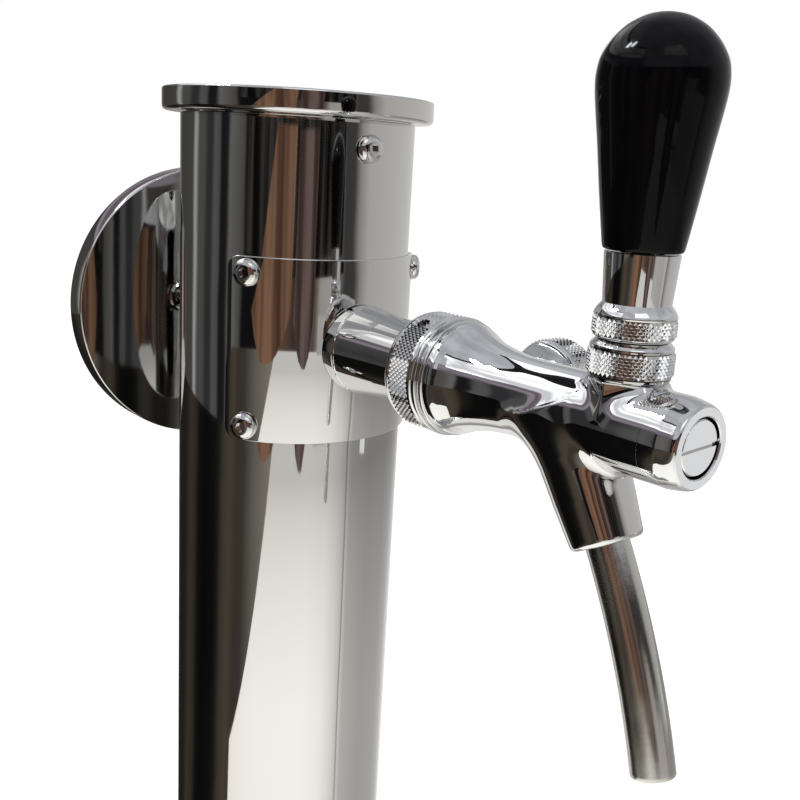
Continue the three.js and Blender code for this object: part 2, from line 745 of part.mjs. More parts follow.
function bonnetCollar() {
  const startAngle = Math.atan2(bonnetTop - pivotRise, bonnetTopRadius);
  const endAngle = Math.acos(stemRadius / bonnetDome);
  const dome = arc(0, pivotRise, bonnetDome, startAngle, endAngle, edgeSteps);
  const roof = dome[dome.length - 1][1];
  const bottom = bossRise + gap;
  const cavityRadius = leverWasherRadius + gap;
  const cavityTop = pivotRise + leverWasherRise + leverWasherThickness + gap;
  const profile = [[cavityRadius, bottom], [bonnetLipRadius, bottom],
    [bonnetLipRadius, bonnetBottom + bonnetLip], [bonnetRadius, bonnetBottom + 2 * bonnetLip],
    [bonnetRadius, bonnetTop - bonnetChamfer], ...dome,
    [0, roof], [0, cavityTop], [cavityRadius, cavityTop]];
  const seat = arc(0, pivotRise, ballSeatRadius, -quarterTurn, quarterTurn, ballSteps);
  let body = solid(turned(profile, midSides)).subtract(solid(turned(seat, smallSides)));
  for (let i = 0; i <= swingSteps; i += 1) {
    const swung = rod(bonnetSlotHalf, 0, bonnetDome + over, smallSides);
    swung.rotateX((leverSwing * i) / swingSteps).translate(0, 0, pivotRise);
    body = body.subtract(solid(swung));
  }
  return piece("bonnet_collar", body, chrome);
}

function leverWasher() {
  const bottom = pivotRise + leverWasherRise;
  const inner = Math.sqrt(ballRadius ** 2 - leverWasherRise ** 2) + gap;
  const washer = tube(inner, leverWasherRadius, bottom, bottom + leverWasherThickness, smallSides);
  return piece("lever_washer", washer, whiteWasher);
}

function leverStem() {
  const ball = arc(0, pivotRise, ballRadius, -quarterTurn + Math.asin(armRadius / ballRadius),
    quarterTurn - Math.asin(stemRadius / ballRadius), ballSteps);
  const tipEnd = quarterTurn - Math.asin(armRadius / armTipRadius);
  const tip = arc(0, 0, armTipRadius, -quarterTurn, tipEnd, edgeSteps);
  tip[0][0] = 0;
  const top = gripBottom + studLength;
  const profile = [...tip, ...ball, [stemRadius, top], [0, top]];
  return piece("lever_stem", turned(profile, smallSides), chrome);
}

function leverCollar() {
  const edgeAngle = Math.acos(collarEdgeRadius / collarSphere);
  const innerAngle = Math.acos((stemRadius + gap) / collarSphere);
  const hollow = arc(0, pivotRise, collarSphere, innerAngle, edgeAngle, edgeSteps);
  const profile = [...hollow, [collarRadius, collarKnurlBottom], [collarRadius, collarKnurlTop],
    [ferruleBottomRadius, ferruleBottom], [ferruleTopRadius, ferruleTop],
    [stemRadius + gap, ferruleTop]];
  return piece("lever_collar", turned(profile, midSides), chrome);
}

function handleInsert() {
  const bottom = gripBottom + gap;
  const top = bottom + insertLength;
  const boreTop = gripBottom + studLength + gap;
  const profile = [[0, boreTop], [stemRadius + gap, boreTop], [stemRadius + gap, bottom],
    [insertRadius, bottom], [insertRadius, top], [0, top]];
  return piece("handle_insert", turned(profile, smallSides), brass);
}

function handleGrip() {
  const socketRoof = gripBottom + insertLength + 2 * gap;
  const profile = [[0, socketRoof], [insertRadius + gap, socketRoof], [insertRadius + gap, gripBottom]];
  for (const [way, width] of gripShares) {
    profile.push([width * gripRadius, gripBottom + way * gripHeight]);
  }
  profile.push([0, gripBottom + gripHeight]);
  return piece("handle_grip", turned(profile, midSides), blackGrip);
}

function plunger() {
  const headRear = seatReach - gap - plungerSealThickness - gap - plungerHeadLength;
  const headFront = headRear + plungerHeadLength;
  const pistonRear = leverReach - pistonBehindLever;
  const pistonFront = leverReach + pistonAheadOfLever;
  const profile = [[0, headRear], [plungerHeadRadius, headRear], [plungerHeadRadius, headFront],
    [rodRadius, headFront], [rodRadius, pistonRear], [pistonRadius, pistonRear],
    [pistonRadius, pistonFront], [0, pistonFront]];
  const pocketRear = leverReach - armTipRadius - gap;
  const pocketLength = 2 * armTipRadius + 2 * gap + pocketForward;
  const pocket = block(0, boreRadius / 2, pocketRear + pocketLength / 2,
    2 * (armTipRadius + gap), 2 * boreRadius, pocketLength);
  return piece("plunger", solid(turned(profile, smallSides)).subtract(solid(pocket)), satinSteel);
}

function plungerSeal() {
  const front = seatReach - gap;
  const seal = tube(rodRadius + gap, plungerSealRadius, front - plungerSealThickness, front, smallSides);
  return piece("plunger_seal", seal, rubber);
}

function compensatorCone() {
  const coneRear = knobReach - coneBehindKnob;
  const coneFront = knobReach + coneAheadOfKnob;
  const landRear = coneFront - coneLand;
  const profile = [[0, coneRear], [coneRearRadius, coneRear], [coneFrontRadius, landRear],
    [coneFrontRadius, coneFront], [0, coneFront]];
  const slotFloor = flowShaftTip - crankPinLength - gap;
  const slotDepth = coneFrontRadius + over - slotFloor;
  const slotWidth = 2 * (crankPinRadius + 2 * gap);
  const slot = block(slotFloor + slotDepth / 2, 0, knobReach - crankOffset,
    slotDepth, 2 * coneFrontRadius + over, slotWidth);
  return piece("compensator_cone", solid(turned(profile, smallSides)).subtract(solid(slot)), whiteWasher);
}

function flowShaft() {
  const shaft = rod(flowShaftRadius, flowShaftTip, knobNear + knobBoreDepth - gap, smallSides);
  const pin = rod(crankPinRadius, flowShaftTip - crankPinLength, flowShaftTip + over, tinySides);
  pin.translate(crankOffset, 0, 0);
  return piece("flow_shaft", solid(shaft).add(solid(pin)), satinSteel);
}

function flowGland() {
  const rear = flowBossReach - glandThickness;
  const gland = tube(flowShaftRadius + gap, glandRadius, rear, flowBossReach, smallSides);
  return piece("flow_gland", gland, brass);
}

function flowKnob() {
  const boreEnd = knobNear + knobBoreDepth;
  const dishRadius = knobRadius - 2 * knobChamfer;
  const profile = [[0, boreEnd], [flowShaftRadius + gap, boreEnd], [flowShaftRadius + gap, knobNear],
    [knobRadius - knobChamfer, knobNear], [knobRadius, knobNear + knobChamfer],
    [knobRadius, knobFar - knobChamfer], [knobRadius - knobChamfer, knobFar], [dishRadius, knobFar],
    [dishRadius - knobDish, knobFar - knobDish], [0, knobFar - knobDish]];
  return piece("flow_knob", turned(profile, midSides), chrome);
}

// Pieces on the medallion line: +Z runs backward from the column's axis
function medallionDisc() {
  const back = medallionReach + medallionThickness;
  const floor = medallionReach + medallionFloor;
  const rimInner = medallionRadius - medallionRim;
  const pocket = bossFront + standEngagement + gap;
  const profile = [[0, pocket], [standRadius + gap, pocket], [standRadius + gap, bossFront],
    [medallionBossRadius, bossFront], [medallionBossRadius, medallionReach],
    [medallionRadius - medallionEdge, medallionReach], [medallionRadius, medallionReach + medallionEdge],
    [medallionRadius, back - medallionEdge], [medallionRadius - medallionEdge, back],
    [rimInner, back], [rimInner, floor], [0, floor]];
  return piece("medallion_disc", turned(profile, fineSides), polishedSteel);
}

function medallionLens() {
  const front = medallionReach + medallionFloor + gap;
  const back = medallionReach + medallionThickness - gap;
  const lens = rod(medallionRadius - medallionRim - gap, front, back, fineSides);
  return piece("medallion_lens", lens, clearLens);
}

function medallionStand() {
  const tip = bossFront + standEngagement;
  const flangeBack = standFlangeFront + standFlangeLength;
  const profile = [[0, standTail], [standRadius, standTail], [standRadius, standFlangeFront],
    [standFlangeRadius, standFlangeFront + gap], [standFlangeRadius, flangeBack],
    [standRadius, flangeBack], [standRadius, tip], [0, tip]];
  return piece("medallion_stand", turned(profile, smallSides), polishedSteel);
}

function standWasher() {
  const disc = solid(tube(standRadius + gap, standWasherRadius, columnInner - gap - standWasherThickness,
    columnRadius, smallSides));
  return piece("stand_washer", disc.intersect(columnCutter(columnInner - gap)), satinSteel);
}

function standNut() {
  const front = columnInner - 2 * gap - standWasherThickness;
  const nut = solid(hexPrism(standNutRadius, front - standNutLength, front));
  const bore = solid(rod(standRadius + gap, front - standNutLength - over, front + over, smallSides));
  return piece("stand_nut", nut.subtract(bore), satinSteel);
}

function towerGroup() {
  const group = new THREE.Group();
  group.add(columnTube(), baseFlange(), baseGasket(), topCap(), faucetPlate());
  for (const [name, azimuth] of capScrews) {
    group.add(faceOutwards(buttonScrew(name), azimuth, columnRadius + gap, capScrewHeight));
  }
  for (const [name, azimuth, rise] of plateScrews) {
    group.add(faceOutwards(buttonScrew(name), azimuth, plateOuter + gap, plateMiddle + rise));
  }
  return group;
}

function leverGroup() {
  const group = new THREE.Group();
  group.position.z = leverReach;
  group.rotation.x = -quarterTurn;
  group.add(bonnetCollar(), leverWasher(), leverStem(), leverCollar(), handleInsert(), handleGrip());
  return group;
}

function flowGroup() {
  const group = new THREE.Group();
  group.position.z = knobReach;
  group.rotation.y = quarterTurn;
  group.add(flowShaft(), flowGland(), flowKnob());
  return group;
}

function faucetGroup() {
  const group = new THREE.Group();
  group.position.z = faucetHeight;
  group.rotation.x = quarterTurn;
  group.add(shankSaddle(), stubPipe(), shank(), shankBacking(), shankLocknut());
  group.add(tailPiece(), tailWasher(), tailNut());
  group.add(couplingNut(), couplingWasher(), faucetBody(), nosePlug(), spoutTube(), spoutSeal());
  group.add(plunger(), plungerSeal(), compensatorCone(), leverGroup(), flowGroup());
  return group;
}

function medallionGroup() {
  const group = new THREE.Group();
  group.position.z = faucetHeight;
  group.rotation.x = -quarterTurn;
  group.add(medallionDisc(), medallionLens(), medallionStand(), standWasher(), standNut());
  return group;
}

const dispenser = new THREE.Group();
dispenser.add(towerGroup(), faucetGroup(), medallionGroup());

export default dispenser;
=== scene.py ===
# %% [markdown]
# A beer tower with one tap. Almost everything on it is a mirror: a polished stainless
# column, chrome fittings and a satin spout, with one glossy black grip. A mirror shows its
# surroundings, so this lesson spends as much care on smooth surfaces and on the room
# round the tower as on the shapes.

import json
import math

import bmesh
import bpy
import numpy as np
from mathutils import Matrix, Vector, noise


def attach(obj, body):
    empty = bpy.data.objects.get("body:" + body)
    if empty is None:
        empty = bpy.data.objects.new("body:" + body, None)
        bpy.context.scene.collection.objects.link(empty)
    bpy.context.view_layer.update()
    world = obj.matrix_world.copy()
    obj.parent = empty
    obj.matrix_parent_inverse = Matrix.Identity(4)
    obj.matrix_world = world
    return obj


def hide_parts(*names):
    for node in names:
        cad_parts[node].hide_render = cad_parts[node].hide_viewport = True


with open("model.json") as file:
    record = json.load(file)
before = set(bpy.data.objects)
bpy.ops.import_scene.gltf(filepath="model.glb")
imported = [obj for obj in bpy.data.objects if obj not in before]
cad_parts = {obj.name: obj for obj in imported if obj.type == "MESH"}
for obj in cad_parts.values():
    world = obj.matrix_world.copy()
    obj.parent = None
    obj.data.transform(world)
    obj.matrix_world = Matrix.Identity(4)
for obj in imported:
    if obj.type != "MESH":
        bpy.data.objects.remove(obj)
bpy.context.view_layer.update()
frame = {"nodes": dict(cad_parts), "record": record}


# %% [markdown]
# The camera stands in front of the tower and to its left, a little above the faucet. Its
# place, its turn and its lens were found by laying known edges of the tower over the
# photograph, so it is written down as numbers instead of being aimed at a target.

# %% Camera
CAMERA_PLACE = Vector((-0.1973, -0.2962, 0.3617))
CAMERA_YAW = math.radians(-40.145)
CAMERA_PITCH = math.radians(13.698)
CAMERA_ROLL = math.radians(3.29)
CAMERA_LENS = 44.576
SENSOR_WIDTH = 36


def camera_axes():
    back = Vector((math.sin(CAMERA_YAW) * math.cos(CAMERA_PITCH),
                   -math.cos(CAMERA_YAW) * math.cos(CAMERA_PITCH), math.sin(CAMERA_PITCH)))
    right = (-back).cross(Vector((0, 0, 1))).normalized()
    up = right.cross(-back)
    rolled_right = math.cos(CAMERA_ROLL) * right + math.sin(CAMERA_ROLL) * up
    rolled_up = math.cos(CAMERA_ROLL) * up - math.sin(CAMERA_ROLL) * right
    return rolled_right, rolled_up, back


camera_data = bpy.data.cameras.new("camera")
camera_data.lens = CAMERA_LENS
camera_data.sensor_width = SENSOR_WIDTH
camera_data.clip_start = 0.01
camera = bpy.data.objects.new("camera", camera_data)
bpy.context.scene.collection.objects.link(camera)
camera.matrix_world = Matrix.Translation(CAMERA_PLACE) @ Matrix(camera_axes()).transposed().to_4x4()
bpy.context.scene.camera = camera
bpy.context.scene.view_settings.view_transform = "Standard"
print("camera", round(CAMERA_PLACE.xy.length, 3), "m from the column's axis")

# %% [markdown]
# Every turned piece starts as half of its outline. bmesh.ops.spin carries that outline
# round an axis, as a lathe does. Outlines are written in millimetres as (radius, along),
# and a place matrix puts the finished shape on the tower: up the column, along the
# faucet, up the lever, out to the flow knob, or back to the medallion.

# %% Places and sizes that many pieces share
MILLIMETRE = Matrix.Scale(0.001, 4)
FAUCET_HEIGHT = 300
LEVER_REACH = 149.1
KNOB_REACH = 108
SOCKET_START = 131.1
SOCKET_TILT = math.radians(28.6)
SHANK_BORE = 9.55
FULL_TURN = 2 * math.pi
MERGE_DISTANCE = 1e-4
OVERRUN = 1


def rotation(degrees, axis):
    return Matrix.Rotation(math.radians(degrees), 4, axis)


def shift(x, y, z):
    return Matrix.Translation((x, y, z))


COLUMN = Matrix.Identity(4)
FAUCET = shift(0, 0, FAUCET_HEIGHT) @ rotation(90, "X")
ON_LEVER = shift(0, 0, LEVER_REACH) @ rotation(-90, "X")
ON_KNOB = shift(0, 0, KNOB_REACH) @ rotation(90, "Y")
ON_SOCKET = shift(0, 0, SOCKET_START) @ Matrix.Rotation(math.pi / 2 - SOCKET_TILT, 4, "X")
LEVER = FAUCET @ ON_LEVER
FLOW = FAUCET @ ON_KNOB
MEDALLION = shift(0, 0, FAUCET_HEIGHT) @ rotation(-90, "X")


def outward(azimuth, reach, height):
    """Turns +Z away from the column at an azimuth counted from the faucet's side."""
    angle = math.radians(azimuth)
    place = shift(reach * math.sin(angle), -reach * math.cos(angle), height)
    return place @ rotation(azimuth, "Z") @ rotation(90, "X")


# %% [markdown]
# The sharp edges of a turned piece are bevelled, because no real edge is perfectly sharp
# and a narrow bevel is what catches the light. Arcs and a curve through a few points draw
# the outlines, so each one is written with as few numbers as it needs.

# %% Turning and softening
def turned(outline, steps=96, soften=0.0, corner=25):
    """Spins an outline about +Z. An outline that doesn't start and end on the axis is closed."""
    shape = bmesh.new()
    verts = [shape.verts.new((radius, 0, along)) for radius, along in outline]
    pairs = list(zip(verts, verts[1:]))
    if outline[0][0] > 0 or outline[-1][0] > 0:
        pairs.append((verts[-1], verts[0]))
    edges = [shape.edges.new(pair) for pair in pairs]
    bmesh.ops.spin(shape, geom=verts + edges, cent=(0, 0, 0), axis=(0, 0, 1), angle=FULL_TURN,
                   steps=steps, use_merge=True, use_duplicate=False)
    bmesh.ops.remove_doubles(shape, verts=shape.verts, dist=MERGE_DISTANCE)
    bmesh.ops.recalc_face_normals(shape, faces=shape.faces)
    soften_corners(shape, soften, corner)
    return shape


def soften_corners(shape, width, corner=25, segments=3):
    if width <= 0:
        return
    limit = math.radians(corner)
    sharp = [edge for edge in shape.edges if len(edge.link_faces) == 2 and edge.calc_face_angle() > limit]
    bmesh.ops.bevel(shape, geom=sharp, offset=width, offset_type="OFFSET", segments=segments,
                    profile=0.5, affect="EDGES", clamp_overlap=True, material=-1)


def rod(radius, start, end, steps=48):
    return turned([(0, start), (radius, start), (radius, end), (0, end)], steps)


def arc(centre_radius, centre_along, radius, start, end, steps=6):
    """Points of an outline on a circle, between two angles in degrees."""
    points = []
    for i in range(steps + 1):
        angle = math.radians(start + (end - start) * i / steps)
        points.append((centre_radius + radius * math.cos(angle), centre_along + radius * math.sin(angle)))
    return points


def smooth_line(points, per_span=8):
    """A Catmull-Rom curve through the points."""
    ends = [np.array(point, float) for point in points]
    ends = [2 * ends[0] - ends[1]] + ends + [2 * ends[-1] - ends[-2]]
    curve = []
    for i in range(1, len(ends) - 2):
        before, here, there, after = ends[i - 1:i + 3]
        for step in range(per_span):
            t = step / per_span
            bend = (2 * before - 5 * here + 4 * there - after) * t ** 2
            bend += (3 * here - before - 3 * there + after) * t ** 3
            curve.append(tuple((2 * here + (there - before) * t + bend) / 2))
    curve.append(tuple(ends[-2]))
    return curve


# %% [markdown]
# Holes are carved by a boolean modifier that is applied at once. The exact solver needs
# closed shells that don't cross themselves, so a piece is carved first and joined with its
# knurled band afterwards.

# %% Carving and joining
def as_object(shape, name):
    mesh = bpy.data.meshes.new(name)
    shape.to_mesh(mesh)
    shape.free()
    thing = bpy.data.objects.new(name, mesh)
    bpy.context.scene.collection.objects.link(thing)
    return thing


def evaluated_shape(thing):
    """The mesh that a thing's modifiers give, as a new bmesh. The thing is removed."""
    graph = bpy.context.evaluated_depsgraph_get()
    shape = bmesh.new()
    shape.from_object(thing, graph)
    bpy.data.objects.remove(thing)
    return shape


def carved(shape, *cutters):
    for cutter in cutters:
        thing = as_object(shape, "blank")
        knife = as_object(cutter, "knife")
        cut = thing.modifiers.new("cut", "BOOLEAN")
        cut.operation = "DIFFERENCE"
        cut.solver = "EXACT"
        cut.object = knife
        shape = evaluated_shape(thing)
        bpy.data.objects.remove(knife)
    return shape


def joined(*shapes):
    whole = bmesh.new()
    for shape in shapes:
        mesh = bpy.data.meshes.new("part")
        shape.to_mesh(mesh)
        shape.free()
        whole.from_mesh(mesh)
        bpy.data.meshes.remove(mesh)
    return whole


# %% [markdown]
# Steel and chrome are the same shader with different detail. A real mirror finish is never
# perfect: polishing leaves hairlines that run one way, hands leave faint smudges that only
# change the roughness, and plating has a very slight orange peel that bends what it
# reflects. All three come from noise on Object coordinates, so they stay on the metal.

# %% Helpers for materials
def shader(name):
    material = bpy.data.materials.new(name)
    material.use_nodes = True
    nodes = material.node_tree.nodes
    return material, nodes, nodes["Principled BSDF"]


def link(source, target):
    source.id_data.links.new(source, target)


def maths(nodes, kind, operation, *sources):
    """A maths node. Each source is a socket to link or a plain value."""
    node = nodes.new(kind)
    node.operation = operation
    for target, source in zip(node.inputs, sources):
        if isinstance(source, bpy.types.NodeSocket):
            link(source, target)
        else:
            target.default_value = source
    return node


def noise_node(nodes, scale, stretch=(1, 1, 1), turn=(0, 0, 0), detail=3.0):
    coordinates = nodes.new("ShaderNodeTexCoord")
    mapping = nodes.new("ShaderNodeMapping")
    mapping.inputs["Scale"].default_value = stretch
    mapping.inputs["Rotation"].default_value = turn
    texture = nodes.new("ShaderNodeTexNoise")
    texture.inputs["Scale"].default_value = scale
    texture.inputs["Detail"].default_value = detail
    link(coordinates.outputs["Object"], mapping.inputs["Vector"])
    link(mapping.outputs["Vector"], texture.inputs["Vector"])
    return texture


def spread(nodes, source, low, high, start=0.35, end=0.65):
    """Maps the range from start to end onto the range from low to high."""
    ramp = nodes.new("ShaderNodeMapRange")
    for name, value in (("From Min", start), ("From Max", end), ("To Min", low), ("To Max", high)):
        ramp.inputs[name].default_value = value
    link(source, ramp.inputs["Value"])
    return ramp.outputs["Result"]


def tinted(nodes, source, low, high):
    mix = nodes.new("ShaderNodeMix")
    mix.data_type = "RGBA"
    mix.inputs["A"].default_value = (*low, 1)
    mix.inputs["B"].default_value = (*high, 1)
    link(source, mix.inputs["Factor"])
    return mix.outputs["Result"]


# %% [markdown]
# One function makes all eight finishes, so what differs between them can be read from a
# table: colours, range of roughness, hairlines and skin. Chrome's skin has no fine detail,
# since a plated casting bends a reflection in slow waves and never breaks it up.

# %% Finishes
PEEL_DEPTH = 0.001


def surface(name, low, high, rough, metallic=1.0, grain=None, smudge=25, peel=(400, 0.02, 3), coat=0.0,
            specular=0.5):
    """low and high are the colours that smudges mix, and rough is a range of roughness.
    grain is (scale, stretch, turn) of the hairlines, peel is (scale, height, detail) of the skin.
    """
    material, nodes, principled = shader(name)
    principled.inputs["Metallic"].default_value = metallic
    principled.inputs["Coat Weight"].default_value = coat
    principled.inputs["Specular IOR Level"].default_value = specular
    smudges = noise_node(nodes, smudge).outputs["Fac"]
    link(tinted(nodes, smudges, low, high), principled.inputs["Base Color"])
    level = spread(nodes, smudges, *rough)
    if grain:
        lines = noise_node(nodes, *grain).outputs["Fac"]
        rougher = maths(nodes, "ShaderNodeMath", "MULTIPLY_ADD", lines, rough[1] - rough[0], level)
        level = rougher.outputs["Value"]
    link(level, principled.inputs["Roughness"])
    bump = nodes.new("ShaderNodeBump")
    bump.inputs["Strength"].default_value = peel[1]
    bump.inputs["Distance"].default_value = PEEL_DEPTH
    link(noise_node(nodes, peel[0], detail=peel[2]).outputs["Fac"], bump.inputs["Height"])
    link(bump.outputs["Normal"], principled.inputs["Normal"])
    return material


UPRIGHT = (1, 1, 0.02)
SPOUT_LEAN = (math.radians(22), 0, 0)
finishes = {
    "polished_steel": surface("polished_steel", (0.68, 0.68, 0.67), (0.72, 0.72, 0.71), (0.012, 0.04),
                              grain=(900, UPRIGHT), smudge=14, peel=(30, 0.02, 3)),
    "chrome": surface("chrome", (0.74, 0.745, 0.75), (0.78, 0.785, 0.79), (0.01, 0.03),
                      smudge=60, peel=(150, 0.03, 0)),
    "satin_steel": surface("satin_steel", (0.62, 0.61, 0.58), (0.72, 0.71, 0.68), (0.13, 0.2),
                           grain=(1200, UPRIGHT, SPOUT_LEAN), smudge=70, peel=(500, 0.02, 3)),
    "brass": surface("brass", (0.62, 0.47, 0.22), (0.72, 0.57, 0.31), (0.22, 0.34),
                     smudge=120, peel=(700, 0.05, 3)),
    "black_grip": surface("black_grip", (0.0012, 0.0012, 0.0016), (0.002, 0.002, 0.0026), (0.05, 0.09),
                          metallic=0.0, smudge=90, peel=(350, 0.02, 3), specular=0.13),
    "rubber": surface("rubber", (0.022, 0.022, 0.023), (0.036, 0.036, 0.037), (0.65, 0.8),
                      metallic=0.0, smudge=200, peel=(1500, 0.2, 3)),
    "washer": surface("washer", (0.8, 0.79, 0.75), (0.88, 0.87, 0.83), (0.4, 0.5),
                      metallic=0.0, smudge=150, peel=(900, 0.08, 3)),
    "lens": surface("lens", (0.7, 0.72, 0.73), (0.75, 0.77, 0.78), (0.05, 0.09),
                    metallic=0.0, smudge=40, peel=(300, 0.01, 3), coat=0.6),
}
print("finishes", ", ".join(finishes))

# %% [markdown]
# A finished piece gets smooth shading with sharp creases, its place, its material, the CAD
# body that carries it and the CAD nodes that it stands for.

# %% Setting a piece on the tower
CREASE = math.radians(32)


def set_piece(name, shape, place, slot, body, *nodes, crease=CREASE):
    shape.transform(MILLIMETRE @ place)
    piece = as_object(shape, name)
    piece.data.shade_smooth()
    piece.data.set_sharp_from_angle(angle=crease)
    piece.data.materials.append(finishes[slot])
    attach(piece, body)
    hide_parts(*nodes)
    print(name, len(piece.data.polygons), "faces")
    return piece


# %% [markdown]
# The column is a plain tube, 80 mm across. A cylinder primitive would do, but a spun outline
# gives the wall and its softened ends at once. It is spun with 256 steps, because a mirror
# shows every facet that a painted tube would hide.

# %% Column
COLUMN_STEPS = 256
COLUMN_RADIUS = 40
COLUMN_INNER = 38.5
COLUMN_BOTTOM = 5.1
COLUMN_TOP = 372.8
SHEET_EDGE = 0.3
column_outline = [(COLUMN_INNER, COLUMN_BOTTOM), (COLUMN_RADIUS, COLUMN_BOTTOM),
                  (COLUMN_RADIUS, COLUMN_TOP), (COLUMN_INNER, COLUMN_TOP)]
column = turned(column_outline, COLUMN_STEPS, soften=SHEET_EDGE)
set_piece("column", column, COLUMN, "polished_steel", "tower", "column_tube")

# %% [markdown]
# The base is a flange that is turned from the solid, with a hub that the column stands in
# and a fillet round the hub. Four countersunk holes take the screws into the counter, and
# a rubber gasket keeps spilt beer out of them.

# %% Base flange and gasket
BASE_OPENING = 33.8
FLANGE_RADIUS = 69.99
FLANGE_BOTTOM = 2.3
FLANGE_TOP = 7.3
FLANGE_EDGE = 1.5
HUB_RADIUS = 43.3
HUB_TOP = 16.3
HUB_FILLET = 3.5
SEAT_RADIUS = 40.3
SEAT_FLOOR = 4.8
flange_outline = [(BASE_OPENING, FLANGE_BOTTOM), (FLANGE_RADIUS, FLANGE_BOTTOM),
                  *arc(FLANGE_RADIUS - FLANGE_EDGE, FLANGE_TOP - FLANGE_EDGE, FLANGE_EDGE, 0, 90, 6),
                  *arc(HUB_RADIUS + HUB_FILLET, FLANGE_TOP + HUB_FILLET, HUB_FILLET, 270, 180, 6),
                  (HUB_RADIUS, HUB_TOP), (SEAT_RADIUS, HUB_TOP),
                  (SEAT_RADIUS, SEAT_FLOOR), (BASE_OPENING, SEAT_FLOOR)]
flange = turned(flange_outline, COLUMN_STEPS, soften=SHEET_EDGE, corner=40)

GASKET_RADIUS = 69.7
GASKET_TOP = 2
gasket_outline = [(BASE_OPENING, 0), (GASKET_RADIUS, 0),
                  (GASKET_RADIUS, GASKET_TOP), (BASE_OPENING, GASKET_TOP)]
gasket = turned(gasket_outline, COLUMN_STEPS, soften=SHEET_EDGE)

HOLE_CIRCLE = 58
HOLE_RADIUS = 3.2
SINK_RADIUS = 5.8
SINK_FLOOR = 4.7
sink_outline = [(0, -OVERRUN), (HOLE_RADIUS, -OVERRUN), (HOLE_RADIUS, SINK_FLOOR),
                (SINK_RADIUS, FLANGE_TOP), (SINK_RADIUS, FLANGE_TOP + OVERRUN), (0, FLANGE_TOP + OVERRUN)]
for turn in (45, 135, 225, 315):
    x = HOLE_CIRCLE * math.cos(math.radians(turn))
    y = HOLE_CIRCLE * math.sin(math.radians(turn))
    sink = turned(sink_outline, 48)
    sink.transform(shift(x, y, 0))
    flange = carved(flange, sink)
    hole = rod(HOLE_RADIUS, -OVERRUN, GASKET_TOP + OVERRUN)
    hole.transform(shift(x, y, 0))
    gasket = carved(gasket, hole)
set_piece("base_flange_ring", flange, COLUMN, "polished_steel", "tower", "base_flange")
set_piece("gasket_ring", gasket, COLUMN, "rubber", "tower", "base_gasket")

# %% [markdown]
# The cap is a thick disc with a plug that goes down into the column. Its lower edge is
# rounded more than its upper one, and both catch a bright line.

# %% Cap
CAP_RADIUS = 46.1
CAP_BOTTOM = 373.1
CAP_TOP = 380.5
CAP_LOWER_EDGE = 1.6
CAP_UPPER_EDGE = 0.7
CAP_PLUG_RADIUS = 38.2
CAP_PLUG_INNER = 34.2
CAP_PLUG_BOTTOM = 353.1
CAP_CEILING = 377.5
cap_outline = [(0, CAP_CEILING), (CAP_PLUG_INNER, CAP_CEILING), (CAP_PLUG_INNER, CAP_PLUG_BOTTOM),
               (CAP_PLUG_RADIUS, CAP_PLUG_BOTTOM), (CAP_PLUG_RADIUS, CAP_BOTTOM),
               *arc(CAP_RADIUS - CAP_LOWER_EDGE, CAP_BOTTOM + CAP_LOWER_EDGE, CAP_LOWER_EDGE, -90, 0, 6),
               *arc(CAP_RADIUS - CAP_UPPER_EDGE, CAP_TOP - CAP_UPPER_EDGE, CAP_UPPER_EDGE, 0, 90, 4),
               (0, CAP_TOP)]
set_piece("cap_disc", turned(cap_outline, COLUMN_STEPS), COLUMN, "polished_steel", "tower", "top_cap")

# %% [markdown]
# The six screws are one button-head screw: a low dome with a hexagonal socket. Each is
# spun, carved with a six-sided prism, and turned a different amount, because nobody lines
# up the sockets of screws. Its place is a seat's distance from the axis and a height.

# %% Button-head screws
HEAD_RADIUS = 4.5
HEAD_HEIGHT = 2.6
THREAD_RADIUS = 2.3
THREAD_LENGTH = 6
SOCKET_RADIUS = 1.75
SOCKET_SPAN = 3


def button_screw(turn):
    dome = smooth_line([(HEAD_RADIUS, 0.6), (4.2, 1.5), (3.45, 2.2), (2.4, HEAD_HEIGHT)], 4)
    outline = [(0, -THREAD_LENGTH), (THREAD_RADIUS, -THREAD_LENGTH), (THREAD_RADIUS, 0),
               (HEAD_RADIUS - 0.1, 0), (HEAD_RADIUS, 0.12), *dome, (0, HEAD_HEIGHT)]
    socket = bmesh.new()
    bmesh.ops.create_cone(socket, cap_ends=True, segments=6, radius1=SOCKET_RADIUS, radius2=SOCKET_RADIUS,
                          depth=SOCKET_SPAN)
    socket.transform(shift(0, 0, HEAD_HEIGHT))
    screw = carved(turned(outline, 48), socket)
    screw.transform(rotation(turn, "Z"))
    return screw


CAP_SCREW = (40.3, 364)
PLATE_MIDDLE = 298.8
PLATE_SCREW_UPPER = (41.8, PLATE_MIDDLE + 25.2)
PLATE_SCREW_LOWER = (41.8, PLATE_MIDDLE - 25.2)
PLATE_SCREW_AZIMUTH = 55
screw_places = [
    ("cap_screw_front", 0, CAP_SCREW, 8),
    ("cap_screw_rear", 180, CAP_SCREW, 21),
    ("plate_screw_top_left", -PLATE_SCREW_AZIMUTH, PLATE_SCREW_UPPER, 15),
    ("plate_screw_bottom_left", -PLATE_SCREW_AZIMUTH, PLATE_SCREW_LOWER, 40),
    ("plate_screw_top_right", PLATE_SCREW_AZIMUTH, PLATE_SCREW_UPPER, 3),
    ("plate_screw_bottom_right", PLATE_SCREW_AZIMUTH, PLATE_SCREW_LOWER, 28),
]
for node, azimuth, (reach, height), turn in screw_places:
    place = outward(azimuth, reach, height)
    set_piece(node + "_head", button_screw(turn), place, "polished_steel", "tower", node)

# %% [markdown]
# The faucet plate is a thin sheet wrapped on the column. It is made flat, because corners
# are easy to round on a flat plate, then cut into narrow strips and bent: each point's
# distance along the plate becomes an angle round the column.

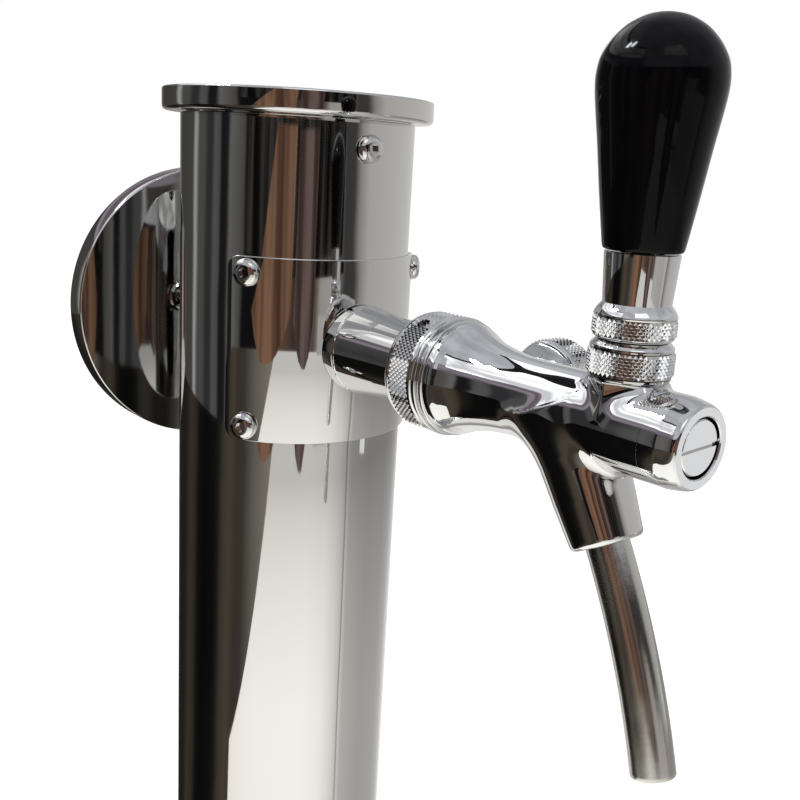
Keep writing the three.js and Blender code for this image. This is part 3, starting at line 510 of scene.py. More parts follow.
# %% Curved faucet plate
PLATE_INNER = 40.3
PLATE_THICKNESS = 1.2
PLATE_HALF_SPAN = math.radians(65)
PLATE_HEIGHT = 60.6
PLATE_STRIPS = 90
CUT_DISTANCE = 1e-5
PLATE_CORNER = 4.5
PLATE_EDGE = 0.28
SHANK_HOLE = 9.6
plate_outer_radius = PLATE_INNER + PLATE_THICKNESS
plate_width = 2 * PLATE_HALF_SPAN * plate_outer_radius
plate = bmesh.new()
bmesh.ops.create_cube(plate, size=1)
plate.transform(Matrix.Diagonal((plate_width, PLATE_THICKNESS, PLATE_HEIGHT, 1)))
corners = []
for edge in plate.edges:
    if abs(edge.verts[0].co.y - edge.verts[1].co.y) > PLATE_THICKNESS / 2:
        corners.append(edge)
bmesh.ops.bevel(plate, geom=corners, offset=PLATE_CORNER, offset_type="OFFSET", segments=10, profile=0.5,
                affect="EDGES", material=-1)
soften_corners(plate, PLATE_EDGE, corner=60, segments=3)
for strip in range(1, PLATE_STRIPS):
    along = plate_width * (strip / PLATE_STRIPS - 0.5)
    whole = plate.verts[:] + plate.edges[:] + plate.faces[:]
    bmesh.ops.bisect_plane(plate, geom=whole, dist=CUT_DISTANCE, plane_co=(along, 0, 0), plane_no=(1, 0, 0))
for vert in plate.verts:
    angle = vert.co.x / plate_outer_radius
    reach = PLATE_INNER + PLATE_THICKNESS / 2 - vert.co.y
    vert.co = Vector((reach * math.sin(angle), -reach * math.cos(angle), vert.co.z + PLATE_MIDDLE))
bmesh.ops.recalc_face_normals(plate, faces=plate.faces)
shank_hole = rod(SHANK_HOLE, COLUMN_RADIUS - 10, COLUMN_RADIUS + 10, 64)
shank_hole.transform(FAUCET)
plate = carved(plate, shank_hole)
set_piece("faucet_plate_sheet", plate, COLUMN, "polished_steel", "tower", "faucet_plate")

# %% [markdown]
# Between the plate and the nut there is a short collar, and a polished cone that the
# shank runs in. Where they meet, the weld was left slightly rough: a thin bead with a
# speckled look. The bead is a small ring whose points are pushed in and out by noise.

# %% Saddle collar, weld bead and cone
SADDLE_RADIUS = 14.5
SADDLE_REACH = 44.4
SADDLE_EDGE = 0.5
PLATE_CLEAR = 0.3
saddle_outline = [(SHANK_BORE, 36), (SADDLE_RADIUS, 36), (SADDLE_RADIUS, SADDLE_REACH - SADDLE_EDGE),
                  (SADDLE_RADIUS - SADDLE_EDGE, SADDLE_REACH), (SHANK_BORE, SADDLE_REACH)]
inside_column = rod(PLATE_INNER + PLATE_THICKNESS + PLATE_CLEAR, -30, 30, COLUMN_STEPS)
inside_column.transform(rotation(-90, "X"))
saddle = carved(turned(saddle_outline, 128), inside_column)
set_piece("saddle_collar", saddle, FAUCET, "polished_steel", "tower", "shank_saddle")

CONE_START = 44.7
CONE_END = 73.2
cone_line = smooth_line([(14.3, 45.1), (13.72, 52), (12.9, 63), (12.3, 72.6)], 8)
cone_outline = [(SHANK_BORE, CONE_START), (13.9, CONE_START), *cone_line,
                (12.0, CONE_END), (SHANK_BORE, CONE_END)]
set_piece("cone_pipe", turned(cone_outline, 160), FAUCET, "polished_steel", "tower", "stub_pipe")

BEAD_CIRCLE = 14.05
BEAD_PLACE = 44.55
BEAD_RADIUS = 0.55
BEAD_ROUGHNESS = 0.22
COARSE_NOISE = 1.6
FINE_NOISE = 4.1
bead = turned(arc(BEAD_CIRCLE, BEAD_PLACE, BEAD_RADIUS, 0, 330, 11), 220)
for vert in bead.verts:
    push = noise.noise(vert.co * COARSE_NOISE) + 0.5 * noise.noise(vert.co * FINE_NOISE)
    centre = Vector((vert.co.x, vert.co.y, 0)).normalized() * BEAD_CIRCLE + Vector((0, 0, BEAD_PLACE))
    vert.co += (vert.co - centre).normalized() * BEAD_ROUGHNESS * push
bmesh.ops.recalc_face_normals(bead, faces=bead.faces)
set_piece("weld_bead", bead, FAUCET, "polished_steel", "tower", "shank_saddle", crease=math.radians(50))

# %% [markdown]
# A diamond knurl is rolled in by two wheels that leave crossing grooves. On a grid whose
# points lie half a diamond apart, every second point is the top of a pyramid and the
# others are where grooves cross. So the band is spun with two steps to a diamond, every
# second point is lifted, and each square is split along its groove.

# %% Knurled bands
def knurl_band(radius, start, end, diamonds, rows, depth, wall=1.2):
    """A ring with pyramids on its outside. radius is the pyramids' tops."""
    floor_radius = radius - depth
    step = (end - start) / (2 * rows)
    levels = [start + step * i for i in range(2 * rows + 1)]
    outline = [(floor_radius - wall, start)] + [(floor_radius, level) for level in levels]
    outline.append((floor_radius - wall, end))
    band = turned(outline, 2 * diamonds)
    tops = set()
    middle = floor_radius - wall / 2
    for vert in band.verts:
        reach = math.hypot(vert.co.x, vert.co.y)
        row = round((vert.co.z - start) / step)
        column = round(math.atan2(vert.co.y, vert.co.x) / FULL_TURN * 2 * diamonds) % (2 * diamonds)
        if reach > middle and (row + column) % 2:
            tops.add(vert)
            if 0 < row < 2 * rows:
                vert.co.x *= radius / reach
                vert.co.y *= radius / reach
    for face in band.faces[:]:
        outer = [vert for vert in face.verts if math.hypot(vert.co.x, vert.co.y) > middle]
        low = [vert for vert in outer if vert not in tops]
        if len(outer) == 4 and len(low) == 2:
            bmesh.utils.face_split(face, low[0], low[1])
    return band


# %% [markdown]
# The coupling nut is a turned ring with a knurled band between two smooth rims. The small
# hole near the top is for the hook of a spanner. It is drilled through the ring and the
# band one by one, since a cut through two shells that overlap can go wrong.

# %% Coupling nut
NUT_REAR = 73.5
NUT_FRONT = 86.9
NUT_RADIUS = 18
NUT_FLOOR = 17.2
NUT_BORE = 13
NUT_SHOULDER = 76.7
NUT_BAND_END = 85.4
HOOK_HOLE_RADIUS = 2
HOOK_HOLE_PLACE = 81
HOOK_HOLE_TURN = 29
nut_rear_rim = smooth_line([(16.2, 73.8), (17.3, 75.2), (17.7, 76.6)], 5)
nut_front_rim = smooth_line([(17.7, NUT_BAND_END), (17.5, 86.2), (16.8, NUT_FRONT)], 5)
nut_outline = [(SHANK_BORE, NUT_REAR), (15.6, NUT_REAR), *nut_rear_rim,
               (NUT_FLOOR, 76.9), (NUT_FLOOR, 85.2), *nut_front_rim,
               (NUT_BORE, NUT_FRONT), (NUT_BORE, NUT_SHOULDER), (SHANK_BORE, NUT_SHOULDER)]
nut_band = knurl_band(NUT_RADIUS, NUT_SHOULDER, NUT_BAND_END, diamonds=72, rows=5, depth=0.6)
nut_shells = []
for shell in (turned(nut_outline, 144), nut_band):
    hook_hole = rod(HOOK_HOLE_RADIUS, 14.4, 20, 40)
    hook_hole.transform(rotation(HOOK_HOLE_TURN, "Z") @ shift(0, 0, HOOK_HOLE_PLACE) @ rotation(-90, "X"))
    nut_shells.append(carved(shell, hook_hole))
KNURL_CREASE = math.radians(20)
nut = joined(*nut_shells)
set_piece("knurled_nut", nut, FAUCET, "chrome", "tower", "coupling_nut", crease=KNURL_CREASE)

# %% [markdown]
# The faucet's body is a casting, and no single operator makes it: a waisted barrel, a
# leaning socket for the spout, a hexagonal boss for the lever and a short boss for the
# knob, all melting into each other. The blank is those solids in one voxel remesh. Then
# each point is moved onto a smooth field that blends the same solids: it is zero on the
# wanted surface, so a few steps along its slope land every point there exactly, fillets
# and all. The surface reflects as cleanly as a turned one.

# %% Faucet body: sizes and outlines
BODY_START = 91.1
BODY_END = 162
SOCKET_LENGTH = 36.2
SOCKET_SQUARENESS = 2.5
LEVER_BOSS_FLAT = 8.8
LEVER_BOSS_TOP = 12.2
LEVER_BOSS_FLOOR = 4
KNOB_BOSS_RADIUS = 6.6
KNOB_BOSS_END = 14.3
barrel_line = smooth_line([(16.95, 88.0), (16.6, BODY_START), (16.33, 92.98), (15.25, 95.4), (13.9, 98.9),
                           (12.71, 103.47), (11.69, 109.93), (11.2, 118), (11.32, 133), (11.5, 148),
                           (11.5, 170)], 12)
line_radius, line_along = np.array(barrel_line).T
line_slope = np.gradient(line_radius, line_along)
socket_line = [(11, 0), (10.9, 12), (10.1, 24), (9, SOCKET_LENGTH)]
socket_radii, socket_down = np.array(socket_line).T
print("barrel", round(line_radius.min(), 2), "to", round(line_radius.max(), 2), "mm in radius")

# %% [markdown]
# Each solid has a function that says how far a point is from its surface. The smaller of
# two such distances is both solids together, and the larger one is what they share. A
# smooth smaller one fills the corner between them, as the mould of a casting does.

# %% Faucet body: the field
SOCKET_FILLET = 3.5
MORE_BEHIND = 4
BEHIND_SPAN = 16
LEVER_BOSS_FILLET = 2.8
KNOB_BOSS_FILLET = 3.0


def smooth_min(a, b, room):
    """The smaller of two distances, rounded where they meet."""
    overlap = np.maximum(room - np.abs(a - b), 0) / room
    return np.minimum(a, b) - overlap ** 2 * room / 4


def smooth_max(a, b, room):
    return -smooth_min(-a, -b, room)


def barrel_field(x, up, along):
    slope = np.interp(along, line_along, line_slope)
    return (np.hypot(x, up) - np.interp(along, line_along, line_radius)) / np.sqrt(1 + slope ** 2)


def socket_field(x, down, across):
    power = SOCKET_SQUARENESS
    reach = (np.abs(x) ** power + np.abs(across) ** power) ** (1 / power)
    socket = smooth_max(reach - np.interp(down, socket_down, socket_radii), down - SOCKET_LENGTH, 1.6)
    return np.maximum(socket, -down)


def lever_boss_field(x, up, ahead):
    hexagon = np.abs(ahead) - LEVER_BOSS_FLAT
    for turn in (30, 150):
        facing = x * math.cos(math.radians(turn)) + ahead * math.sin(math.radians(turn))
        hexagon = smooth_max(hexagon, np.abs(facing) - LEVER_BOSS_FLAT, 0.5)
    boss = smooth_max(hexagon, up - LEVER_BOSS_TOP, 0.6)
    return np.maximum(boss, LEVER_BOSS_FLOOR - up)


def knob_boss_field(x, up, ahead):
    boss = smooth_max(np.hypot(up, ahead) - KNOB_BOSS_RADIUS, x - KNOB_BOSS_END, 0.8)
    return np.maximum(boss, -x)


def body_field(points):
    """About the distance from the body's surface, below zero inside. x is right, y up, z forward."""
    x, up, along = points[:, 0], points[:, 1], points[:, 2]
    down = -up * math.cos(SOCKET_TILT) + (along - SOCKET_START) * math.sin(SOCKET_TILT)
    across = up * math.sin(SOCKET_TILT) + (along - SOCKET_START) * math.cos(SOCKET_TILT)
    fillet = SOCKET_FILLET + MORE_BEHIND * np.clip(0.5 - across / BEHIND_SPAN, 0, 1)
    body = smooth_min(barrel_field(x, up, along), socket_field(x, down, across), fillet)
    body = smooth_min(body, lever_boss_field(x, up, along - LEVER_REACH), LEVER_BOSS_FILLET)
    return smooth_min(body, knob_boss_field(x, up, along - KNOB_REACH), KNOB_BOSS_FILLET)


# %% [markdown]
# A point goes onto the field by its value over its slope, which is one step of Newton's
# method. That alone leaves the remesh's points crowded in places, and a mirror shows it.
# So smoothing and fitting take turns: one spreads the points, the other puts them back.

# %% Faucet body: the blank and its fitting
VOXEL = 0.45
SETTLE_ROUNDS = 10
BARREL_STEPS = 64
SOCKET_STEPS = 48
LEVER_BOSS_CORNER = 10.1
NUDGE = 0.02
LEAST_SLOPE = 0.25
LONGEST_MOVE = 0.8


def onto_field(mesh, field, steps=3):
    """Moves each point along the field's slope until the field is zero."""
    points = np.empty(len(mesh.vertices) * 3)
    mesh.vertices.foreach_get("co", points)
    points = points.reshape(-1, 3)
    for _ in range(steps):
        value = field(points)
        slope = np.empty_like(points)
        for axis in range(3):
            offset = np.zeros(3)
            offset[axis] = NUDGE
            slope[:, axis] = (field(points + offset) - field(points - offset)) / (2 * NUDGE)
        size = np.maximum((slope ** 2).sum(axis=1), LEAST_SLOPE)
        move = np.clip(value / size, -LONGEST_MOVE, LONGEST_MOVE)
        points -= slope * move[:, None]
    mesh.vertices.foreach_set("co", points.ravel())


barrel_blank = turned([(0, 86), *barrel_line, (0, 170)], BARREL_STEPS)
socket_blank = turned([(0, 0), *socket_line, (0, SOCKET_LENGTH)], SOCKET_STEPS)
socket_blank.transform(ON_SOCKET)
boss_blank = bmesh.new()
bmesh.ops.create_cone(boss_blank, cap_ends=True, segments=6, radius1=LEVER_BOSS_CORNER,
                      radius2=LEVER_BOSS_CORNER, depth=LEVER_BOSS_TOP)
boss_blank.transform(shift(0, LEVER_BOSS_TOP / 2, LEVER_REACH) @ rotation(-90, "X") @ rotation(90, "Z"))
knob_boss_blank = rod(KNOB_BOSS_RADIUS, 0, KNOB_BOSS_END)
knob_boss_blank.transform(ON_KNOB)
blank = as_object(joined(barrel_blank, socket_blank, boss_blank, knob_boss_blank), "body_blank")
remesh = blank.modifiers.new("remesh", "REMESH")
remesh.mode = "VOXEL"
remesh.voxel_size = VOXEL
casting = as_object(evaluated_shape(blank), "casting")
onto_field(casting.data, body_field)
for _ in range(SETTLE_ROUNDS):
    shape = bmesh.new()
    shape.from_mesh(casting.data)
    bmesh.ops.smooth_vert(shape, verts=shape.verts, factor=0.5,
                          use_axis_x=True, use_axis_y=True, use_axis_z=True)
    shape.to_mesh(casting.data)
    shape.free()
    onto_field(casting.data, body_field)
print("casting", len(casting.data.vertices), "points")

# %% [markdown]
# The casting is cut flat at both ends, where turned pieces take over, and capped there. Then
# the three openings are bored: for the spout, for the lever and for the knob's gland.

# %% Faucet body: trimmed and bored
SPOUT_BORE = 6.3
LEVER_BORE = 5.6
GLAND_BORE = 5.3
casting_shape = evaluated_shape(casting)
for along, facing in ((BODY_START, -1), (BODY_END, 1)):
    whole = casting_shape.verts[:] + casting_shape.edges[:] + casting_shape.faces[:]
    cut = bmesh.ops.bisect_plane(casting_shape, geom=whole, dist=MERGE_DISTANCE, plane_co=(0, 0, along),
                                 plane_no=(0, 0, facing), clear_outer=True)
    rim = [item for item in cut["geom_cut"] if isinstance(item, bmesh.types.BMEdge)]
    bmesh.ops.contextual_create(casting_shape, geom=rim)
spout_bore = rod(SPOUT_BORE, SOCKET_LENGTH - 9, SOCKET_LENGTH + 3, 96)
spout_bore.transform(ON_SOCKET)
lever_bore = rod(LEVER_BORE, 9, 14, 64)
lever_bore.transform(ON_LEVER)
gland_bore = rod(GLAND_BORE, 11.8, 16, 64)
gland_bore.transform(ON_KNOB)
casting_shape = carved(casting_shape, spout_bore, lever_bore, gland_bore)
CAST_CREASE = math.radians(40)
set_piece("faucet_casting", casting_shape, FAUCET, "chrome", "tower", "faucet_body", crease=CAST_CREASE)

# %% [markdown]
# The two thin rings behind the shoulder and the nose in front of the barrel have crisp
# edges, which a voxel remesh would blur. They are turned on their own. The rings meet
# the casting on a flat face, and the nose reaches a little into it at the same radius.

# %% Rings and nose
SPIGOT_RADIUS = 12.7
RING_RADIUS = 17.8
GROOVE_RADIUS = 16.2
LESSER_RING_RADIUS = 17.2
rings_outline = [(0, 82.8), (SPIGOT_RADIUS, 82.8), (SPIGOT_RADIUS, 87.2), (RING_RADIUS, 87.2),
                 (RING_RADIUS, 88.9), (GROOVE_RADIUS, 88.9), (GROOVE_RADIUS, 89.8),
                 (LESSER_RING_RADIUS, 89.8), (LESSER_RING_RADIUS, BODY_START), (0, BODY_START)]
faucet_rings = turned(rings_outline, 144, soften=0.45, corner=60)
set_piece("faucet_rings", faucet_rings, FAUCET, "chrome", "tower", "faucet_body")

NOSE_RADIUS = 11.5
NOSE_REACH = 172
nose_overlap = [(0, 161), (11.2, 161), (11.48, 161.5), (NOSE_RADIUS, 161.8), (NOSE_RADIUS, 162.2)]
nose_curve = smooth_line([(11.3, 167.7), (10.9, 170), (10.45, 171.4), (9.9, NOSE_REACH)], 6)
nose_recess = [(7.9, NOSE_REACH), (7.6, 171.7), (7.6, 163.5), (0, 163.5)]
nose_outline = [*nose_overlap, (NOSE_RADIUS, 166.4), (11.42, 167.1), *nose_curve, *nose_recess]
faucet_nose = turned(nose_outline, 144, soften=0.12, corner=60)
set_piece("faucet_nose", faucet_nose, FAUCET, "chrome", "tower", "faucet_body")

# %% [markdown]
# A round plug with a screwdriver slot closes the nose. It sits a little behind the nose's
# rim and leaves a narrow gap round it, which shows as a thin dark ring.

# %% Slotted plug
PLUG_RADIUS = 7
PLUG_FACE = 171.5
SLOT_SIZE = (17, 1.1, 1.4, 1)
plug_outline = [(0, 164.6), (PLUG_RADIUS, 164.6), (PLUG_RADIUS, 171.2), (6.7, PLUG_FACE), (0, PLUG_FACE)]
slot_cutter = bmesh.new()
bmesh.ops.create_cube(slot_cutter, size=1)
slot_cutter.transform(shift(0, 0, PLUG_FACE) @ rotation(3, "Z") @ Matrix.Diagonal(SLOT_SIZE))
plug = carved(turned(plug_outline, 96), slot_cutter)
set_piece("slotted_plug", plug, FAUCET, "chrome", "tower", "nose_plug")

# %% [markdown]
# The spout is a steel tube bent to a long, gentle arc. Its end ring is pushed straight
# through the socket, and then spun about a far centre, which is how a bender works.

# %% Spout
SPOUT_RADIUS = 5.88
SPOUT_WALL = 1.2
SPOUT_SEAT = 13
SPOUT_ARC_RADIUS = 250
SPOUT_ARC = math.radians(13.6)
SPOUT_ARC_STEPS = 48
SPOUT_SIDES = 64
spout = bmesh.new()
for radius in (SPOUT_RADIUS, SPOUT_RADIUS - SPOUT_WALL):
    bmesh.ops.create_circle(spout, cap_ends=False, segments=SPOUT_SIDES, radius=radius)
bmesh.ops.bridge_loops(spout, edges=spout.edges[:])
spout.transform(shift(0, 0, SOCKET_LENGTH - SPOUT_SEAT))
straight = bmesh.ops.extrude_face_region(spout, geom=spout.faces[:])
moved = [item for item in straight["geom"] if isinstance(item, bmesh.types.BMVert)]
bmesh.ops.translate(spout, verts=moved, vec=(0, 0, SPOUT_SEAT))
front = [item for item in straight["geom"] if isinstance(item, bmesh.types.BMFace)]
bmesh.ops.spin(spout, geom=front, cent=(0, -SPOUT_ARC_RADIUS, SOCKET_LENGTH), axis=(1, 0, 0),
               angle=SPOUT_ARC, steps=SPOUT_ARC_STEPS, use_merge=False, use_duplicate=False)
bmesh.ops.remove_doubles(spout, verts=spout.verts, dist=MERGE_DISTANCE)
bmesh.ops.recalc_face_normals(spout, faces=spout.faces)
soften_corners(spout, 0.2, corner=60, segments=2)
spout.transform(ON_SOCKET)
set_piece("bent_spout", spout, FAUCET, "satin_steel", "tower", "spout_tube")

# %% [markdown]
# The lever rises through a knurled bonnet that stays put and ends in a second knurled
# collar that swings with it. Their faces are parts of two spheres about the ball's
# centre, a hair apart, so the upper one can slide over the lower one. The slot for the
# lever's swing is cut before the knurled band goes on.

# %% Bonnet
PIVOT_RISE = 14
BONNET_DOME = 12.1
BONNET_FLOOR = 9.7
LEVER_SLOT_RADIUS = 3.3
bonnet_foot = [(7.3, 12.5), (9.9, 12.5), (10.15, 12.8), (10.2, 13.3),
               (BONNET_FLOOR, 13.5), (BONNET_FLOOR, 19.6)]
bonnet_dome = arc(0, PIVOT_RISE, BONNET_DOME, 38, 72, 8)
bonnet_outline = [*bonnet_foot, *smooth_line([(10.3, 19.9), (10.25, 20.7), bonnet_dome[0]], 4),
                  *bonnet_dome[1:], (LEVER_SLOT_RADIUS, 24.5), (LEVER_SLOT_RADIUS, 17), (7.3, 16.7)]
swing_cutters = []
for swing in (0, 10, 20, 30):
    swung = rod(LEVER_SLOT_RADIUS, 2, 14.5)
    swung.transform(shift(0, 0, PIVOT_RISE) @ rotation(swing, "X"))
    swing_cutters.append(swung)
bonnet = carved(turned(bonnet_outline, 128), *swing_cutters)
bonnet = joined(bonnet, knurl_band(10.8, 13.6, 19.7, diamonds=50, rows=4, depth=0.55))
set_piece("bonnet_ring", bonnet, LEVER, "chrome", "tower", "bonnet_collar", crease=KNURL_CREASE)

# %% [markdown]
# The upper collar is a turned shape with a hollow that clears the bonnet's dome and a long
# ferrule under the grip, and a knurled band is joined to it. It rides on the lever's body,
# so it leans forward with the grip when the lever is pulled.

# %% Lever collar
COLLAR_HOLLOW = 12.4
COLLAR_TOP = 43.2
collar_hollow = arc(0, PIVOT_RISE, COLLAR_HOLLOW, 76, 42, 8)
collar_lip = smooth_line([(9.6, 22.5), (9.9, 22.75), (9.8, 23)], 3)
collar_shoulder = smooth_line([(10.1, 27.7), (10.15, 28.2), (9.6, 29.4), (8.75, 30.5), (8.4, 30.9)], 5)
collar_ferrule = [(8.42, 31.2), (9.2, 43), (9.05, COLLAR_TOP), (3, COLLAR_TOP)]
collar_outline = [*collar_hollow, *collar_lip, (9.6, 23.1), (9.6, 27.5), *collar_shoulder, *collar_ferrule]
collar = joined(turned(collar_outline, 128), knurl_band(10.4, 23, 27.6, diamonds=48, rows=3, depth=0.55))
set_piece("upper_collar", collar, LEVER, "chrome", "lever", "lever_collar", crease=KNURL_CREASE)

# %% [markdown]
# The grip is a turned pear shape. A few points of its outline were read from the
# photograph, as shares of its height and its widest radius, and a smooth curve runs
# through them.

# %% Handle grip
GRIP_BOTTOM = 43.5
GRIP_HEIGHT = 53.89
GRIP_RADIUS = 15.2
INSERT_RADIUS = 5.3
INSERT_TOP = 66.1
grip_shares = [(0.012, 0.645), (0.05, 0.668), (0.15, 0.722), (0.26, 0.78), (0.36, 0.83), (0.46, 0.88),
               (0.56, 0.936), (0.65, 0.982), (0.715, 1), (0.765, 0.988), (0.81, 0.952), (0.855, 0.873),
               (0.9, 0.756), (0.945, 0.585), (0.98, 0.36), (0.995, 0.16), (1, 0)]
grip_points = [(width * GRIP_RADIUS, GRIP_BOTTOM + way * GRIP_HEIGHT) for way, width in grip_shares]
grip_curve = [(max(radius, 0), along) for radius, along in smooth_line(grip_points, 6)]
grip_outline = [(0, INSERT_TOP), (INSERT_RADIUS, INSERT_TOP), (INSERT_RADIUS, GRIP_BOTTOM),
                (9.1, GRIP_BOTTOM), (9.5, 43.65), *grip_curve]
set_piece("pear_grip", turned(grip_outline, 160), LEVER, "black_grip", "lever", "handle_grip")

# %% [markdown]
# The flow knob sets how fast the beer runs. It is turned and knurled like the nut, and its
# face has a shallow dish. The dish is only 0.8 mm deep, but its curved edge catches a thin
# bright ring.

# %% Flow knob
KNOB_RADIUS = 13.6
KNOB_BACK = 15.1
KNOB_FLOOR = 12.8
KNOB_DISH = 24.6
knob_rear_rim = smooth_line([(11.6, KNOB_BACK), (12.5, 15.4), (13, 16.4)], 4)
knob_front_rim = smooth_line([(13, 24), (12.6, 25), (11.6, 25.4)], 4)
knob_dish = smooth_line([(9.9, 25.2), (9.2, 24.75), (8.2, KNOB_DISH)], 4)
knob_outline = [(0, 22.1), (3, 22.1), (3, KNOB_BACK), *knob_rear_rim,
                (KNOB_FLOOR, 16.7), (KNOB_FLOOR, 23.7), *knob_front_rim,
                (10.2, 25.4), *knob_dish, (0, KNOB_DISH)]
knob_band = knurl_band(KNOB_RADIUS, 16.6, 23.8, diamonds=58, rows=5, depth=0.55)
knob = joined(turned(knob_outline, 128), knob_band)
set_piece("knurled_knob", knob, FLOW, "chrome", "flow_control", "flow_knob", crease=KNURL_CREASE)

# %% [markdown]
# The medallion is a mirror tray behind the column. Its floor faces the column, and a deep
# rim holds a blank badge on the far side. The photograph shows the floor and the rim's
# wall, so that wall is as deep as the photograph says, with rounded edges to catch light.
# A short stem with a flange holds the tray on the column.

# %% Medallion
DISC_RADIUS = 53.8
DISC_NEAR = 62.6
DISC_FAR = 72.19
DISC_EDGE = 0.6
TRAY_RADIUS = 49.8
TRAY_FLOOR = 65
BOSS_RADIUS = 6.2
BOSS_FRONT = 50.6
STEM_SOCKET_RADIUS = 4.3
STEM_SOCKET_FLOOR = 60.9
disc_outline = [(0, STEM_SOCKET_FLOOR), (STEM_SOCKET_RADIUS, STEM_SOCKET_FLOOR),
                (STEM_SOCKET_RADIUS, BOSS_FRONT), (BOSS_RADIUS - 0.5, BOSS_FRONT),
                (BOSS_RADIUS, BOSS_FRONT + 0.5), (BOSS_RADIUS, DISC_NEAR),
                *arc(DISC_RADIUS - DISC_EDGE, DISC_NEAR + DISC_EDGE, DISC_EDGE, -90, 0, 5),
                *arc(DISC_RADIUS - DISC_EDGE, DISC_FAR - DISC_EDGE, DISC_EDGE, 0, 90, 5),
                (50.1, DISC_FAR), (TRAY_RADIUS, DISC_FAR - 0.3), (TRAY_RADIUS, TRAY_FLOOR), (0, TRAY_FLOOR)]
disc = turned(disc_outline, COLUMN_STEPS)
set_piece("medallion_mirror", disc, MEDALLION, "polished_steel", "tower", "medallion_disc")

LENS_RADIUS = 49.5
LENS_BACK = 65.3
LENS_FACE = 71.9
lens_edge = smooth_line([(LENS_RADIUS, 71.3), (49.2, 71.7), (48.8, LENS_FACE)], 3)
lens_outline = [(0, LENS_BACK), (LENS_RADIUS, LENS_BACK), *lens_edge, (0, LENS_FACE)]
set_piece("blank_lens", turned(lens_outline, COLUMN_STEPS), MEDALLION, "lens", "tower", "medallion_lens")

STEM_RADIUS = 4
STEM_END = 60.6
stem_flange = [(STEM_RADIUS, 40.3), (7, 40.6), (7, 42.9), (6.6, 43.3), (STEM_RADIUS, 43.3)]
stem_outline = [(0, 27), (3.7, 27), (STEM_RADIUS, 27.3), *stem_flange,
                (STEM_RADIUS, STEM_END), (0, STEM_END)]
stem = turned(stem_outline, 64)
set_piece("medallion_stem", stem, MEDALLION, "polished_steel", "tower", "medallion_stand")

# %% [markdown]
# The pieces that nobody sees, inside the column and the faucet, keep their CAD shapes and
# only get the finish that the record names for them.

# %% Finishes for the CAD pieces that stay
slots = {row["node"]: row["material_slot"] for row in frame["record"]["subparts"]}
for node, thing in frame["nodes"].items():
    thing.data.materials.clear()
    thing.data.materials.append(finishes[slots[node]])
print(len(slots), "CAD nodes have their finish")

# %% [markdown]
# The studio is a pale floor under a white sky. Mirrors need more than that: in an all-white
# room they look like white paint. A photographer stands dark and grey cards round the
# object, out of view. These cards are seen by reflections only, so they shape the metal
# and leave the floor and the lamps alone. Headings are counted from the camera's side.

# %% Floor and sky
CAMERA_HEADING = 236.3
FLOOR_SIZE = 14
SKY_ON_MATT = 0.75
FLOOR_GLOW = 0.5


def camera_and_mirrors(nodes):
    """Adds up the rays that should see the background: camera, glossy and transmission."""
    path = nodes.new("ShaderNodeLightPath")
    total = path.outputs["Is Camera Ray"]
    for kind in ("Is Glossy Ray", "Is Transmission Ray"):
        add = maths(nodes, "ShaderNodeMath", "ADD", total, path.outputs[kind])
        add.use_clamp = True
        total = add.outputs["Value"]
    return total


world = bpy.data.worlds.new("sky")
bpy.context.scene.world = world
world.use_nodes = True
sky_nodes = world.node_tree.nodes
sky = sky_nodes["Background"]
sky.inputs["Color"].default_value = (1, 1, 1, 1)
link(spread(sky_nodes, camera_and_mirrors(sky_nodes), SKY_ON_MATT, 1, 0, 1), sky.inputs["Strength"])

floor_material, floor_nodes, floor_shader = shader("pale_floor")
floor_shader.inputs["Base Color"].default_value = (0.8, 0.8, 0.79, 1)
floor_shader.inputs["Roughness"].default_value = 0.9
floor_shader.inputs["Emission Color"].default_value = (1, 1, 0.99, 1)
floor_glow = spread(floor_nodes, camera_and_mirrors(floor_nodes), 0, FLOOR_GLOW, 0, 1)
link(floor_glow, floor_shader.inputs["Emission Strength"])
floor_shape = bmesh.new()
bmesh.ops.create_grid(floor_shape, x_segments=2, y_segments=2, size=FLOOR_SIZE / 2)
floor = as_object(floor_shape, "floor")
floor.data.materials.append(floor_material)
print("floor", FLOOR_SIZE, "m wide")

# %% [markdown]
# A card glows by itself, so no lamp has to reach it. Two kinds of glow are enough: two
# colours mixed by noise, for cloths and panes, and stripes by heading round the tower, for
# walls and table. The stripes' borders waver a little, since straight ones look drawn.

# %% Glowing materials
ROOM_GAIN = 1.22
NEAR_BY = 0.3
FAR_OFF = 1.1


def glow_shader(name):
    material, nodes, principled = shader(name)
    nodes.remove(principled)
    emission = nodes.new("ShaderNodeEmission")
    emission.inputs["Strength"].default_value = ROOM_GAIN
    link(emission.outputs["Emission"], nodes["Material Output"].inputs["Surface"])
    return material, nodes, emission.inputs["Color"]


def streaked_glow(name, low, high, stretch=(1, 1, 1), scale=2.0):
    """Two colours mixed by noise."""
    material, nodes, colour = glow_shader(name)
    streaks = noise_node(nodes, scale, stretch)
    share = spread(nodes, streaks.outputs["Fac"], 0, 1, 0.4, 0.6)
    link(tinted(nodes, share, low, high), colour)
    return material


